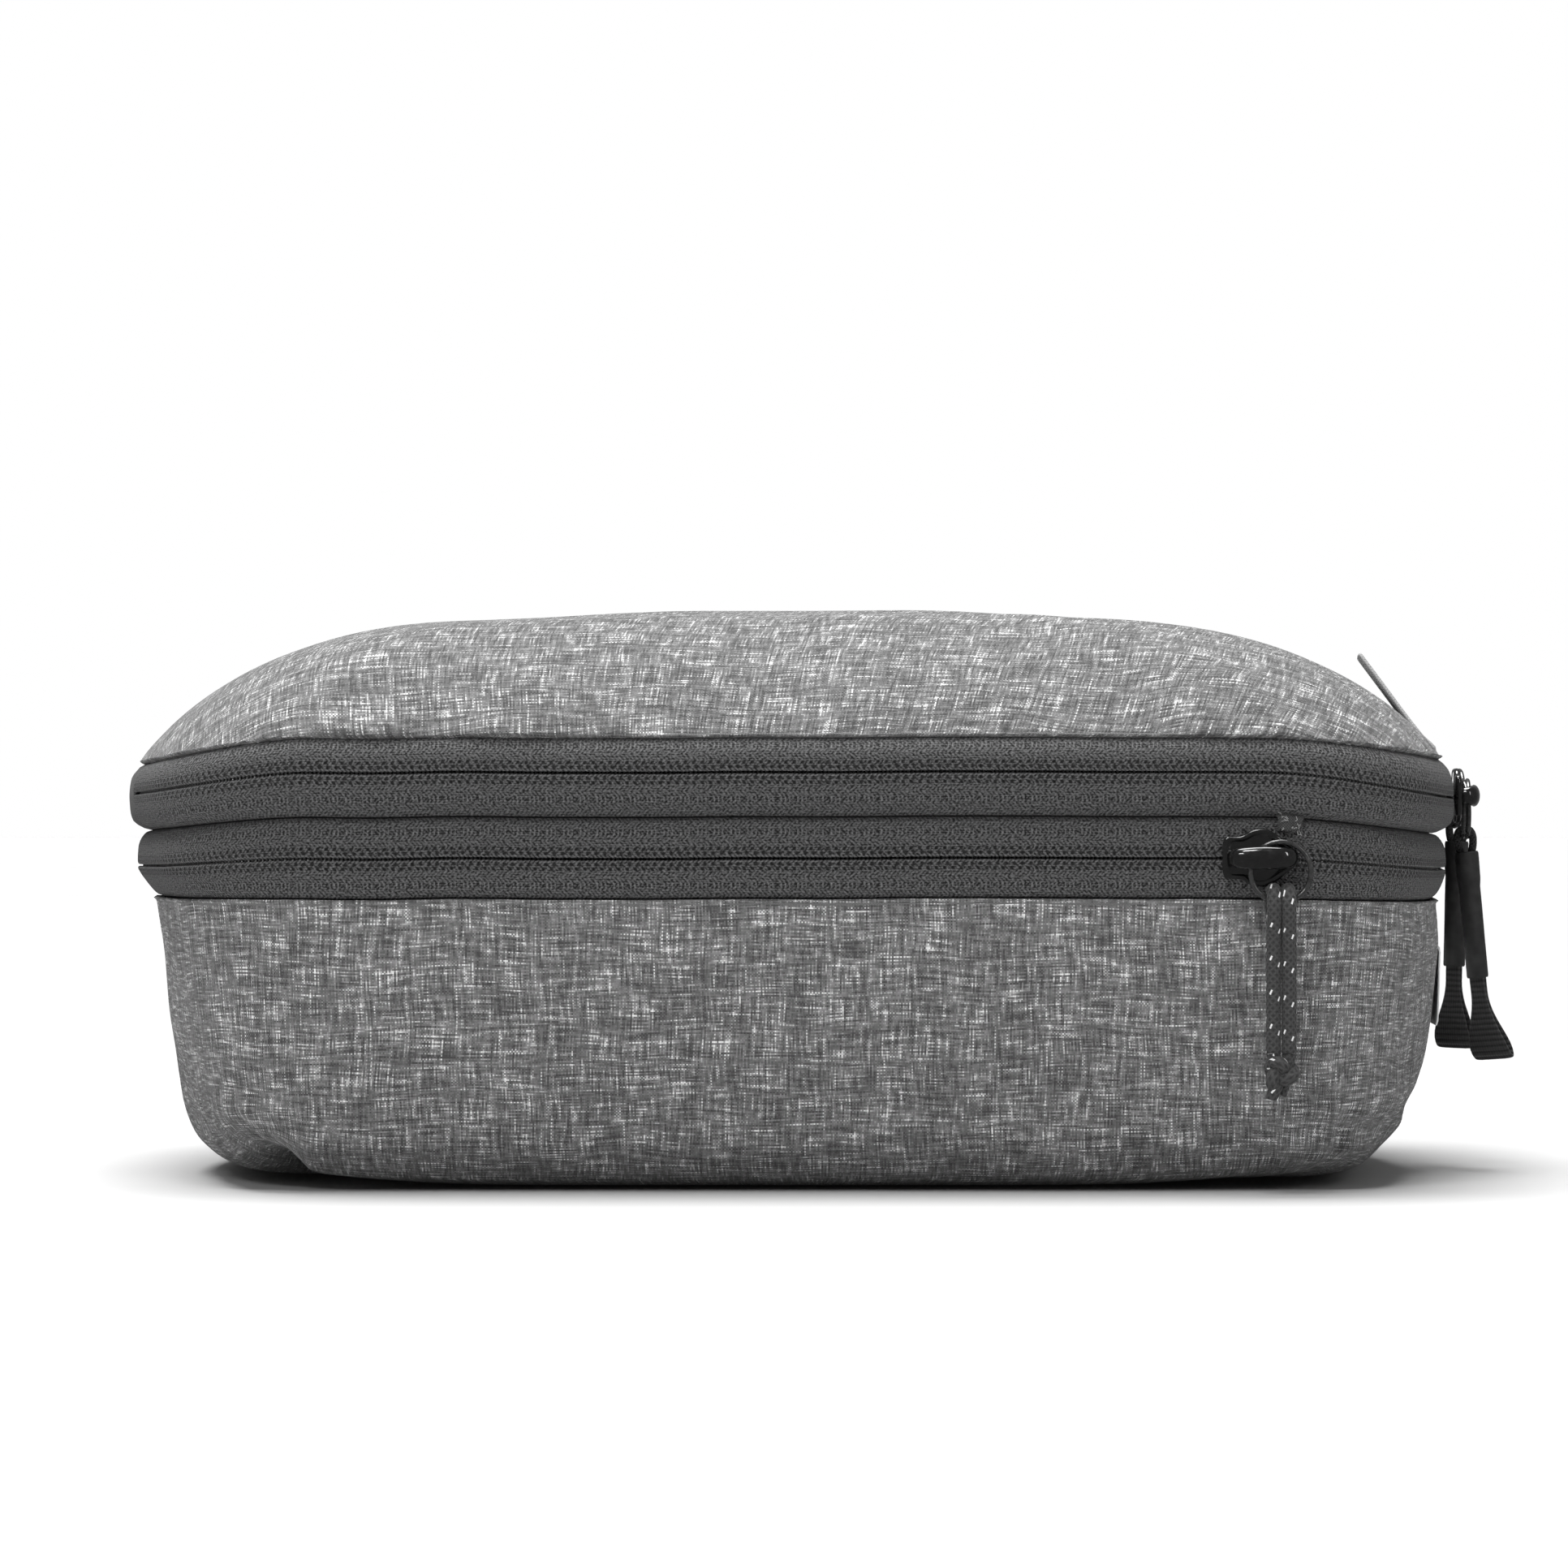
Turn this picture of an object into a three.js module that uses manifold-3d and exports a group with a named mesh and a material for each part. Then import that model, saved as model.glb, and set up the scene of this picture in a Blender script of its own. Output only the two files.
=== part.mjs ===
// A soft packing cube for luggage: a fabric tub, a domed fabric lid and two zips that run round it.
// The lower zip is the compression zip: opened, it frees a folded gusset and the cube grows taller.
// The upper zip is the main zip: opened, the lid folds back about its left end.
// Millimetres, +Z up. The origin is the centre of the flat bottom. The front is -Y, the pulls hang at +X.
import * as THREE from "three";
import { mergeVertices } from "three/addons/utils/BufferGeometryUtils.js";
import Module from "manifold-3d";

const wasm = await Module();
wasm.setup();

// ---------------------------------------------------------------- driving dimensions

const HALF_LENGTH = 127; // widest half size along X, at the main zip
const HALF_DEPTH = 89; // widest half size along Y, at the main zip
const END_RADIUS = 230; // the stuffed ends bulge out in plan, as arcs of this radius
const END_CENTRE = HALF_LENGTH - END_RADIUS; // where the right end's arc is centred, on X
const CORNER = 31; // plan corner radius at the widest level
const LEAST_CORNER = 12; // plan corner radius at the flat bottom
const FABRIC = 1.4; // thickness of the fabric solids
const TAPE = 1.2; // thickness of the zip tape solids
const GAP = 0.3; // clearance between neighbouring solids
const SEAM_GAP = 0.15; // half the gap left at a seam between two panels

// Heights of the seams and zip lines at the middle of the front.
const TUB_SEAM = 53.5;
const COMPRESSION_LINE = 60.8;
const MIDDLE_SEAM = 68.3;
const MAIN_LINE = 76.3;
const LID_SEAM = 82.6;
const CROWN = 107;

// The stuffing lifts the middle of each long side, so every level drops towards the two ends.
const DROP_SHARE = 0.059; // drop at the ends, as a share of the level
const DROP_START = 85; // distance along X where the drop begins

// How far the skin stands in from the widest outline, as [level, inset].
const SKIN = [
  [0, 36],
  [2, 18.5],
  [4.3, 13.6],
  [7, 11],
  [14, 8.5],
  [30, 5.6],
  [TUB_SEAM, 3.2],
  [TUB_SEAM + SEAM_GAP, 2.7],
  [57, 1.9],
  [COMPRESSION_LINE, 1.7],
  [65, 2.2],
  [MIDDLE_SEAM - SEAM_GAP, 3.4],
  [MIDDLE_SEAM + SEAM_GAP, 2.6],
  [70.5, 0.8],
  [72.8, 0.2],
  [MAIN_LINE, 0.1],
  [79.6, 0.5],
  [LID_SEAM, 2.9],
];
const TUB_LEVELS = [0, 2, 4.3, 7, 14, 30, TUB_SEAM - SEAM_GAP];

// Zips.
const LINE_GAP = 0.5; // half the gap between the two tapes of a zip
const COIL_WIDTH = 2.5; // of one half's coil
const COIL_DEPTH = 1.8;
const PLATE_LENGTH = 13.3;
const PLATE_HALF_WIDTH = 4.75;
const SHOULDER_HALF_WIDTH = 5.3;
const NOSE_HALF_WIDTH = 2.2;
const PLATE = 1.4; // thickness of the slider's outer plate
const INNER_PLATE = 1.0;
const PLATE_LIFT = 0.4; // clearance from the tape and coil to the slider's plates
const POST = { length: 3, thickness: 0.4 };
const BAIL = { from: -4, to: 5.9, foot: 1.2, width: 3, top: 1.2, clear: 1.9 };
const RING_RADIUS = 5.4;
const WIRE_RADIUS = 0.5;
const RING_ALONG = 3.7; // ring centre from the slider's centre, towards the nose
const RING_LIFT = 1.0; // ring plane above the outer plate

// Where the sliders are parked, and how the pulls hang.
const COMPRESSION_SLIDER_X = 83.8;
const MAIN_SLIDER_Y = 10.5;
const RING_DROP = 2.5; // ring centre below the zip line
const REAR_RING_DROP = 0.6; // the rear ring sits higher in its bail
const FRONT_PULL_LEAN = 5.2; // degrees outwards
const REAR_PULL_LEAN = -1.2;

// The compression zip's pull: one cord, doubled through the ring and knotted.
const CORD_RADIUS = 1.25;
const CORD_WRAP = 2.05; // cord centreline from the ring wire's centre
const STRAND_APART = 1.4; // each strand from the pull's middle
const STRAND_Y = -1.3; // the strands hang this far in front of the ring's wire
const CORD_LENGTH = 27; // from the ring wire down to the knot
const KNOT = { radius: 3.1, height: 7.4 };

// The main zip's pulls: a thin cord loop, a heat-shrink sleeve and a folded webbing loop.
const LOOP_RADIUS = 0.75;
const LOOP_WRAP = 1.5;
const LOOP_INSIDE = 0.88; // each strand from the sleeve's middle
const LOOP_DEPTH = 19; // how far the strands run down inside the sleeve
const SLEEVE = { top: -2.9, bottom: -27.2, outer: 2.35, lower: 2.1, wall: 0.5, step: -8.6 };
const WEBBING = { thickness: 0.8, neck: 3, width: 8, length: 15.6, spread: 1.9 };

// The lid's hinge strip, at the left end between the main zip's two ends.
const HINGE_HALF_WIDTH = 45;

// The grab tab on the lid's right end, as [x, z] points up its middle.
const TAB_LINE = [
  [125.0, 79.6],
  [119.4, 88.2],
  [111.0, 98.7],
];
const TAB = { width: 32, thickness: 1.3 };

// The blank label sewn to the right end of the tub, as [x, z] points down its middle.
const LABEL_LINE = [
  [123.5, 42.8],
  [122.5, 28.0],
];
const LABEL = { width: 30, thickness: 0.7, middle: -4 };

const CORNER_STEPS = 5;
const END_STEPS = 8;
const ROUND_SIDES = 8;

// ---------------------------------------------------------------- materials

const material = (color, roughness, metalness = 0) =>
  new THREE.MeshStandardMaterial({ color, roughness, metalness });
const HEATHER = material(0x707070, 0.9);
const LINING = material(0x5c5c5c, 0.9);
const TAPE_GREY = material(0x474747, 0.85);
const COIL_BLACK = material(0x242424, 0.5);
const BINDING = material(0x3a3a3a, 0.9);
const BLACK_METAL = material(0x1c1c1e, 0.2, 0.9);
const CORD_GREY = material(0x3a3a3a, 0.8);
const SLEEVE_BLACK = material(0x2e2e2e, 0.6);
const WEBBING_BLACK = material(0x262626, 0.85);
const TAB_GREY = material(0x6a6a6a, 0.8);
const LABEL_WHITE = material(0xe8e8e6, 0.7);

// ---------------------------------------------------------------- shape helpers

const cube = new THREE.Group();

function add(name, geometry, finish, parent = cube) {
  const mesh = new THREE.Mesh(geometry, finish);
  mesh.name = name;
  parent.add(mesh);
  return mesh;
}

function smooth(t) {
  const c = Math.min(1, Math.max(0, t));
  return c * c * (3 - 2 * c);
}

// A level's height at a place along X, with the drop towards the ends.
function heightAt(level, x) {
  const share = smooth((Math.abs(x) - DROP_START) / (HALF_LENGTH - DROP_START));
  return level * (1 - DROP_SHARE * share);
}

function insetAt(level) {
  const above = SKIN.findIndex(([l]) => l >= level);
  if (above <= 0) return SKIN[Math.max(above, 0)][1];
  const [l0, i0] = SKIN[above - 1];
  const [l1, i1] = SKIN[above];
  return i0 + ((i1 - i0) * (level - l0)) / (l1 - l0);
}

// A corner of the outline that stands in by an inset: its radius, its centre in the first quadrant, and
// the angle at which it meets the end's arc.
function cornerAt(inset) {
  const radius = Math.max(CORNER - inset, LEAST_CORNER);
  const reach = END_RADIUS - inset - radius;
  const y = HALF_DEPTH - inset - radius;
  const turn = Math.asin(y / reach);
  return { radius, x: END_CENTRE + reach * Math.cos(turn), y, turn };
}

function arcPoints(x, y, radius, from, to, steps) {
  return Array.from({ length: steps + 1 }, (_, i) => {
    const a = from + ((to - from) * i) / steps;
    return [x + radius * Math.cos(a), y + radius * Math.sin(a)];
  });
}

// The plan outline, as [x, y] points: straight long sides, bulging ends and round corners.
function outline(inset) {
  const { radius, x, y, turn } = cornerAt(inset);
  const half = [
    ...arcPoints(END_CENTRE, 0, END_RADIUS - inset, -turn, turn, END_STEPS).slice(0, -1),
    ...arcPoints(x, y, radius, turn, Math.PI / 2, CORNER_STEPS),
    ...arcPoints(-x, y, radius, Math.PI / 2, Math.PI - turn, CORNER_STEPS).slice(0, -1),
  ];
  return [...half, ...half.map(([px, py]) => [-px, -py])];
}

// The loop of the skin at one level, standing in by a further inset.
function skinLoop(level, inwards = 0, up = 0) {
  return outline(insetAt(level) + inwards).map(([x, y]) => [x, y, heightAt(level, x) + up]);
}

function signedVolume(points, faces) {
  let sum = 0;
  for (const [a, b, c] of faces) {
    const [p, q, r] = [points[a], points[b], points[c]];
    sum += p[0] * (q[1] * r[2] - q[2] * r[1]);
    sum += p[1] * (q[2] * r[0] - q[0] * r[2]);
    sum += p[2] * (q[0] * r[1] - q[1] * r[0]);
  }
  return sum / 6;
}

// A closed body from points and triangles, with its faces turned to point out.
function closedBody(points, faces) {
  const turned = signedVolume(points, faces) < 0 ? faces.map(([a, b, c]) => [a, c, b]) : faces;
  const body = new THREE.BufferGeometry();
  body.setAttribute("position", new THREE.Float32BufferAttribute(points.flat(), 3));
  body.setIndex(turned.flat());
  return body;
}

function joinLoops(faces, n, a, b) {
  for (let i = 0; i < n; i++) {
    const j = (i + 1) % n;
    faces.push([a * n + i, a * n + j, b * n + j], [a * n + i, b * n + j, b * n + i]);
  }
}

// A ring-shaped body: loops joined one to the next, and the last to the first.
function ringBody(loops) {
  const faces = [];
  loops.forEach((_, k) => joinLoops(faces, loops[0].length, k, (k + 1) % loops.length));
  return closedBody(loops.flat(), faces);
}

// A bowl or a bar: loops joined one to the next, each end closed by a fan about its middle.
function cappedBody(loops, middles) {
  const n = loops[0].length;
  const faces = [];
  for (let k = 0; k + 1 < loops.length; k++) joinLoops(faces, n, k, k + 1);
  const ends = [0, (loops.length - 1) * n];
  const centre = loops.length * n;
  for (let i = 0; i < n; i++) {
    const j = (i + 1) % n;
    faces.push([centre, ends[0] + j, ends[0] + i], [centre + 1, ends[1] + i, ends[1] + j]);
  }
  return closedBody([...loops.flat(), ...middles], faces);
}

function middleOf(loop) {
  return [0, 1, 2].map((k) => loop.reduce((sum, p) => sum + p[k], 0) / loop.length);
}

function barBody(sections) {
  return cappedBody(sections, [middleOf(sections[0]), middleOf(sections.at(-1))]);
}

// A flat strip whose middle follows a line of [x, z] points, running along Y.
function stripBody(line, thickness, width, middle = 0) {
  const sections = line.map(([x, z], i) => {
    const [ax, az] = line[Math.max(i - 1, 0)];
    const [bx, bz] = line[Math.min(i + 1, line.length - 1)];
    const long = Math.hypot(bx - ax, bz - az);
    const nx = ((bz - az) / long) * (thickness / 2);
    const nz = (-(bx - ax) / long) * (thickness / 2);
    const [low, high] = [middle - width / 2, middle + width / 2];
    return [
      [x - nx, low, z - nz],
      [x + nx, low, z + nz],
      [x + nx, high, z + nz],
      [x - nx, high, z - nz],
    ];
  });
  return barBody(sections);
}

// A band of the skin between two levels, of one thickness, behind the skin by a stand-off.
function bandBody(levels, thickness, standoff = 0) {
  const outer = levels.map((level) => skinLoop(level, standoff));
  const inner = levels.map((level) => skinLoop(level, standoff + thickness)).reverse();
  return ringBody([...outer, ...inner]);
}

function roundSection(radius) {
  const circle = new THREE.Shape();
  circle.absarc(0, 0, radius, 0, Math.PI * 2);
  return circle;
}

// A round tube with closed ends along a smooth line of [x, y, z] points.
function tubeBody(points, radius, steps) {
  const path = new THREE.CatmullRomCurve3(points.map((p) => new THREE.Vector3(...p)));
  const options = { steps, extrudePath: path, curveSegments: ROUND_SIDES / 2, bevelEnabled: false };
  return new THREE.ExtrudeGeometry(roundSection(radius), options);
}

// ---------------------------------------------------------------- cutting and joining

function toSolid(geometry) {
  const bare = geometry.clone();
  bare.deleteAttribute("normal");
  bare.deleteAttribute("uv");
  const merged = mergeVertices(bare, 1e-4);
  const vertProperties = merged.attributes.position.array;
  const triVerts = new Uint32Array(merged.index.array);
  return new wasm.Manifold(new wasm.Mesh({ numProp: 3, vertProperties, triVerts }));
}

function fromSolid(solid) {
  const mesh = solid.getMesh();
  const points = new THREE.BufferAttribute(mesh.vertProperties, 3);
  const index = new THREE.BufferAttribute(mesh.triVerts, 1);
  return new THREE.BufferGeometry().setAttribute("position", points).setIndex(index);
}

function boxBody([x0, y0, z0], [x1, y1, z1]) {
  const body = new THREE.BoxGeometry(x1 - x0, y1 - y0, z1 - z0);
  return body.translate((x0 + x1) / 2, (y0 + y1) / 2, (z0 + z1) / 2);
}

function cut(geometry, tool) {
  return fromSolid(toSolid(geometry).subtract(toSolid(tool)));
}

function keepInside(geometry, tool) {
  return fromSolid(toSolid(geometry).intersect(toSolid(tool)));
}

function join(...geometries) {
  return fromSolid(geometries.map(toSolid).reduce((a, b) => a.add(b)));
}

// ---------------------------------------------------------------- fabric tub and lid

function tubShell() {
  const outer = TUB_LEVELS.map((level) => skinLoop(level));
  const inner = TUB_LEVELS.map((level, i) => skinLoop(level, FABRIC, innerRise(i))).reverse();
  return cappedBody([...outer, ...inner], [[0, 0, 0], [0, 0, FABRIC]]);
}

// The tub's inner loops stand above its bottom by the fabric's thickness, and end level with its rim.
function innerRise(i) {
  return FABRIC * (1 - i / (TUB_LEVELS.length - 1));
}

const DOME_RINGS = [1, 0.985, 0.95, 0.89, 0.78, 0.6, 0.35];
const DOME_FLATNESS = 4;
const DOME_SHOULDER = 0.66;

function domeShare(k) {
  return Math.pow(1 - Math.pow(k, DOME_FLATNESS), DOME_SHOULDER);
}

function domeLoop(k, inwards) {
  return outline(insetAt(LID_SEAM) + inwards).map(([x, y]) => {
    const edge = heightAt(LID_SEAM + SEAM_GAP, x);
    return [x * k, y * k, edge + (CROWN - inwards - edge) * domeShare(k)];
  });
}

function lidPanel() {
  const outer = DOME_RINGS.map((k) => domeLoop(k, 0)).reverse();
  const inner = DOME_RINGS.map((k) => domeLoop(k, FABRIC));
  return cappedBody([...outer, ...inner], [[0, 0, CROWN], [0, 0, CROWN - FABRIC]]);
}

add("tub_shell", tubShell(), HEATHER);
add("lid_panel", lidPanel(), HEATHER);

// Narrow tapes that bind the raw seam edges on the inside, as [low, high, inset from the widest outline].
const BINDING_THICKNESS = 0.6;
const BINDINGS = {
  tub_seam_binding: [51.9, 54.9, 4.9],
  middle_seam_binding: [66.9, 69.7, 4.9],
  lid_seam_binding: [82.4, 84.8, 5.8],
};
function flatLoop(level, inset) {
  return outline(inset).map(([x, y]) => [x, y, heightAt(level, x)]);
}
for (const [name, [low, high, inset]] of Object.entries(BINDINGS)) {
  const back = inset + BINDING_THICKNESS;
  const loops = [flatLoop(low, inset), flatLoop(high, inset), flatLoop(high, back), flatLoop(low, back)];
  add(name, ringBody(loops), BINDING);
}

// The boxed corners of the tub's bottom: a strip inside each corner binds its short seam.
const CORNER_SEAM_LEVELS = [4.3, 7, 14, 24];
const CORNER_BINDING_HALF = 2.2;
for (const [name, sx, sy] of [
  ["front_left", -1, -1],
  ["front_right", 1, -1],
  ["rear_left", -1, 1],
  ["rear_right", 1, 1],
]) {
  const diagonal = [sx * Math.SQRT1_2, sy * Math.SQRT1_2];
  const across = [-diagonal[1] * CORNER_BINDING_HALF, diagonal[0] * CORNER_BINDING_HALF];
  const sections = CORNER_SEAM_LEVELS.map((level) => {
    const inset = insetAt(level) + FABRIC + GAP + 0.4;
    const corner = cornerAt(inset);
    const x = sx * corner.x + corner.radius * diagonal[0];
    const y = sy * corner.y + corner.radius * diagonal[1];
    const z = heightAt(level, x) + FABRIC;
    const back = BINDING_THICKNESS;
    return [
      [x - across[0], y - across[1], z],
      [x + across[0], y + across[1], z],
      [x + across[0] - diagonal[0] * back, y + across[1] - diagonal[1] * back, z],
      [x - across[0] - diagonal[0] * back, y - across[1] - diagonal[1] * back, z],
    ];
  });
  add("corner_seam_binding_" + name, barBody(sections), BINDING);
}

// The gusset behind the compression zip, folded inwards once, as [level, inset].
const GUSSET_FOLD = [
  [52.2, 6.4],
  [55.5, 8.2],
  [58.5, 12.6],
  [60.8, 16.4],
  [63.1, 12.6],
  [66.4, 7.8],
  [69.8, 6.2],
];
const GUSSET_THICKNESS = 0.6;
function gussetBody() {
  const outer = GUSSET_FOLD.map(([level, inset]) => flatLoop(level, inset));
  const inner = GUSSET_FOLD.map(([level, inset]) => flatLoop(level, inset + GUSSET_THICKNESS));
  return ringBody([...outer, ...inner.reverse()]);
}
add("expansion_gusset", gussetBody(), LINING);

// ---------------------------------------------------------------- zips

// The main zip stops either side of the hinge strip; this box holds the strip's part of the skin.
const HINGE_BOX = [
  [-HALF_LENGTH - 5, -HINGE_HALF_WIDTH, 60],
  [-HALF_LENGTH + 12, HINGE_HALF_WIDTH, 90],
];
function hingeZone(shrink) {
  const [low, high] = HINGE_BOX;
  return boxBody([low[0], low[1] + shrink, low[2]], [high[0], high[1] - shrink, high[2]]);
}

function coilBody(line, side) {
  const near = line + side * LINE_GAP;
  const far = line + side * (LINE_GAP + COIL_WIDTH);
  const front = insetAt(far) + TAPE + GAP;
  const back = insetAt(line) + TAPE + GAP + COIL_DEPTH;
  return ringBody([flatLoop(near, front), flatLoop(far, front), flatLoop(far, back), flatLoop(near, back)]);
}

add(
  "compression_zip_lower_tape",
  bandBody([TUB_SEAM + SEAM_GAP, 57, COMPRESSION_LINE - LINE_GAP], TAPE),
  TAPE_GREY,
);
add(
  "compression_zip_upper_tape",
  bandBody([COMPRESSION_LINE + LINE_GAP, 65, MIDDLE_SEAM - SEAM_GAP], TAPE),
  TAPE_GREY,
);
add("compression_zip_lower_coil", coilBody(COMPRESSION_LINE, -1), COIL_BLACK);
add("compression_zip_upper_coil", coilBody(COMPRESSION_LINE, 1), COIL_BLACK);

const mainLower = bandBody([MIDDLE_SEAM + SEAM_GAP, 70.5, 72.8, MAIN_LINE - LINE_GAP], TAPE);
const mainUpper = bandBody([MAIN_LINE + LINE_GAP, 79.6, LID_SEAM - SEAM_GAP], TAPE);
add("main_zip_lower_tape", cut(mainLower, hingeZone(0)), TAPE_GREY);
add("main_zip_upper_tape", cut(mainUpper, hingeZone(0)), TAPE_GREY);
add("main_zip_lower_coil", cut(coilBody(MAIN_LINE, -1), hingeZone(0)), COIL_BLACK);
add("main_zip_upper_coil", cut(coilBody(MAIN_LINE, 1), hingeZone(0)), COIL_BLACK);
add("hinge_strip_lower", keepInside(mainLower, hingeZone(GAP)), HEATHER);
add("hinge_strip_upper", keepInside(mainUpper, hingeZone(GAP)), HEATHER);

// The compression zip starts and ends at one place, where its tape end turns up into the middle seam.
const TAPE_END = { from: 87.3, to: 92.6, low: 65.2, high: 68.9, thickness: 0.7 };
const tapeEndFace = HALF_DEPTH - insetAt(65) + 0.4;
add(
  "compression_zip_tape_end",
  boxBody(
    [TAPE_END.from, -tapeEndFace - TAPE_END.thickness, TAPE_END.low],
    [TAPE_END.to, -tapeEndFace, TAPE_END.high],
  ),
  TAPE_GREY,
);

// ---------------------------------------------------------------- sliders, rings and pulls

// A slider is drawn lying on the tape's face: +X towards its nose, +Y up the tape, +Z away from the bag.
function plateOutline() {
  const half = PLATE_LENGTH / 2;
  const shape = new THREE.Shape();
  shape.moveTo(-half, -PLATE_HALF_WIDTH);
  shape.lineTo(-half + 4, -PLATE_HALF_WIDTH);
  shape.quadraticCurveTo(-0.6, -SHOULDER_HALF_WIDTH - 0.6, 1.6, -SHOULDER_HALF_WIDTH + 0.5);
  shape.quadraticCurveTo(4.6, -NOSE_HALF_WIDTH - 1.2, half, -NOSE_HALF_WIDTH);
  shape.lineTo(half, NOSE_HALF_WIDTH);
  shape.quadraticCurveTo(4.6, NOSE_HALF_WIDTH + 1.2, 1.6, SHOULDER_HALF_WIDTH - 0.5);
  shape.quadraticCurveTo(-0.6, SHOULDER_HALF_WIDTH + 0.6, -half + 4, PLATE_HALF_WIDTH);
  shape.lineTo(-half, PLATE_HALF_WIDTH);
  shape.closePath();
  return shape;
}

const INNER_FACE = -(TAPE + GAP + COIL_DEPTH + PLATE_LIFT);

function sliderBody() {
  const flat = (depth) => ({ depth, bevelEnabled: false, curveSegments: 4 });
  const outer = new THREE.ExtrudeGeometry(plateOutline(), flat(PLATE));
  outer.translate(0, 0, PLATE_LIFT);
  const inner = new THREE.ExtrudeGeometry(plateOutline(), flat(INNER_PLATE));
  inner.translate(0, 0, INNER_FACE - INNER_PLATE);
  const post = boxBody(
    [-POST.length / 2, -POST.thickness / 2, INNER_FACE - INNER_PLATE / 2],
    [POST.length / 2, POST.thickness / 2, PLATE_LIFT + PLATE / 2],
  );
  return join(outer, inner, post);
}

// The bail is the bridge over the slider that the ring is threaded through.
function bailBody() {
  const { from, to, foot, width, top, clear } = BAIL;
  const shape = new THREE.Shape();
  const crest = clear + top;
  shape.moveTo(from, GAP);
  shape.lineTo(from + foot, GAP);
  shape.lineTo(from + foot, clear);
  shape.lineTo(to - foot, clear);
  shape.lineTo(to - foot, GAP);
  shape.lineTo(to, GAP);
  shape.lineTo(to, crest - 0.9);
  shape.quadraticCurveTo(to - 0.2, crest, to - 1.4, crest);
  shape.lineTo(from + 1.4, crest);
  shape.quadraticCurveTo(from + 0.2, crest, from, crest - 0.9);
  shape.closePath();
  const options = { depth: width, bevelEnabled: false, curveSegments: 3 };
  const body = new THREE.ExtrudeGeometry(shape, options);
  body.translate(0, 0, -width / 2);
  return body.rotateX(Math.PI / 2).translate(0, 0, PLATE_LIFT + PLATE);
}

const RING_PLANE = PLATE_LIFT + PLATE + RING_LIFT;

function ringWire() {
  return new THREE.TorusGeometry(RING_RADIUS, WIRE_RADIUS, ROUND_SIDES, 22);
}

// Places a slider, its bail and its ring on a zip line, and gives the group they lie in.
function addSlider(prefix, position, turn, ringDrop) {
  const place = new THREE.Group();
  place.position.set(...position);
  place.rotation.set(...turn);
  cube.add(place);
  add(prefix + "_slider", sliderBody(), BLACK_METAL, place);
  add(prefix + "_bail", bailBody(), BLACK_METAL, place);
  const ring = add(prefix + "_ring", ringWire(), BLACK_METAL, place);
  ring.position.set(RING_ALONG, -ringDrop, RING_PLANE);
  return place;
}

// The compression slider, on the front.
const frontFace = HALF_DEPTH - insetAt(COMPRESSION_LINE);
addSlider(
  "compression",
  [COMPRESSION_SLIDER_X, -frontFace, COMPRESSION_LINE],
  [Math.PI / 2, 0, 0],
  RING_DROP,
);

// Its pull: the doubled cord is hitched on the ring's lower wire. Both strands hang in front of it, each
// turns over the wire, and the short bar that joins them lies behind.
const pullX = COMPRESSION_SLIDER_X + RING_ALONG;
const pullY = -frontFace - RING_PLANE;
const pullZ = COMPRESSION_LINE - RING_DROP - RING_RADIUS;
const compressionPull = new THREE.Group();
compressionPull.position.set(pullX, pullY, pullZ);
cube.add(compressionPull);
const CORD_HALF = [
  [STRAND_APART, STRAND_Y, -CORD_LENGTH],
  [STRAND_APART, STRAND_Y, -CORD_LENGTH * 0.66],
  [STRAND_APART, STRAND_Y - 0.05, -CORD_LENGTH * 0.36],
  [1.36, -1.6, -5],
  [1.32, -CORD_WRAP, -2],
  [1.3, -CORD_WRAP, -0.1],
  [1.3, -1.45, 1.5],
  [1.3, 0, CORD_WRAP + 0.1],
  [1.3, 1.45, 1.5],
  [1.33, CORD_WRAP, -0.1],
  [1.32, CORD_WRAP + 0.15, -1.6],
  [0.85, CORD_WRAP + 0.25, -2.7],
];
const CORD_ROUTE = [
  ...CORD_HALF.map(([x, y, z]) => [-x, y, z]),
  [0, CORD_WRAP + 0.25, -3.1],
  ...CORD_HALF.toReversed(),
];
add("compression_pull_cord", tubeBody(CORD_ROUTE, CORD_RADIUS, 60), CORD_GREY, compressionPull);

function knotBody() {
  const { radius, height } = KNOT;
  const profile = [
    [0, -height / 2],
    [radius * 0.55, -height / 2],
    [radius * 0.95, -height / 4],
    [radius, height / 8],
    [radius * 0.75, height / 2.3],
    [0, height / 2],
  ];
  const points = profile.map(([r, z]) => new THREE.Vector2(r, z));
  return new THREE.LatheGeometry(points, 12).rotateX(Math.PI / 2);
}
const knot = add("compression_pull_knot", knotBody(), CORD_GREY, compressionPull);
knot.position.set(0, STRAND_Y, -CORD_LENGTH - GAP - KNOT.height / 2);

// ---------------------------------------------------------------- main zip sliders and pulls

// A main pull hangs from the middle of its ring's lower wire: X away from the bag, Z up.
function loopRoute() {
  const route = [];
  for (const side of [-1, 1]) {
    const half = [
      [side * LOOP_INSIDE, 0, -LOOP_DEPTH],
      [side * LOOP_INSIDE, 0, -LOOP_DEPTH / 2],
      [side * LOOP_INSIDE, 0, -4],
      [side * LOOP_WRAP * 0.9, 0, -1.9],
      [side * LOOP_WRAP, 0, -0.1],
      [side * LOOP_WRAP * 0.7, 0, LOOP_WRAP * 0.75],
    ];
    if (side < 0) route.push(...half, [0, 0, LOOP_WRAP]);
    else route.push(...half.reverse());
  }
  return route;
}

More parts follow.
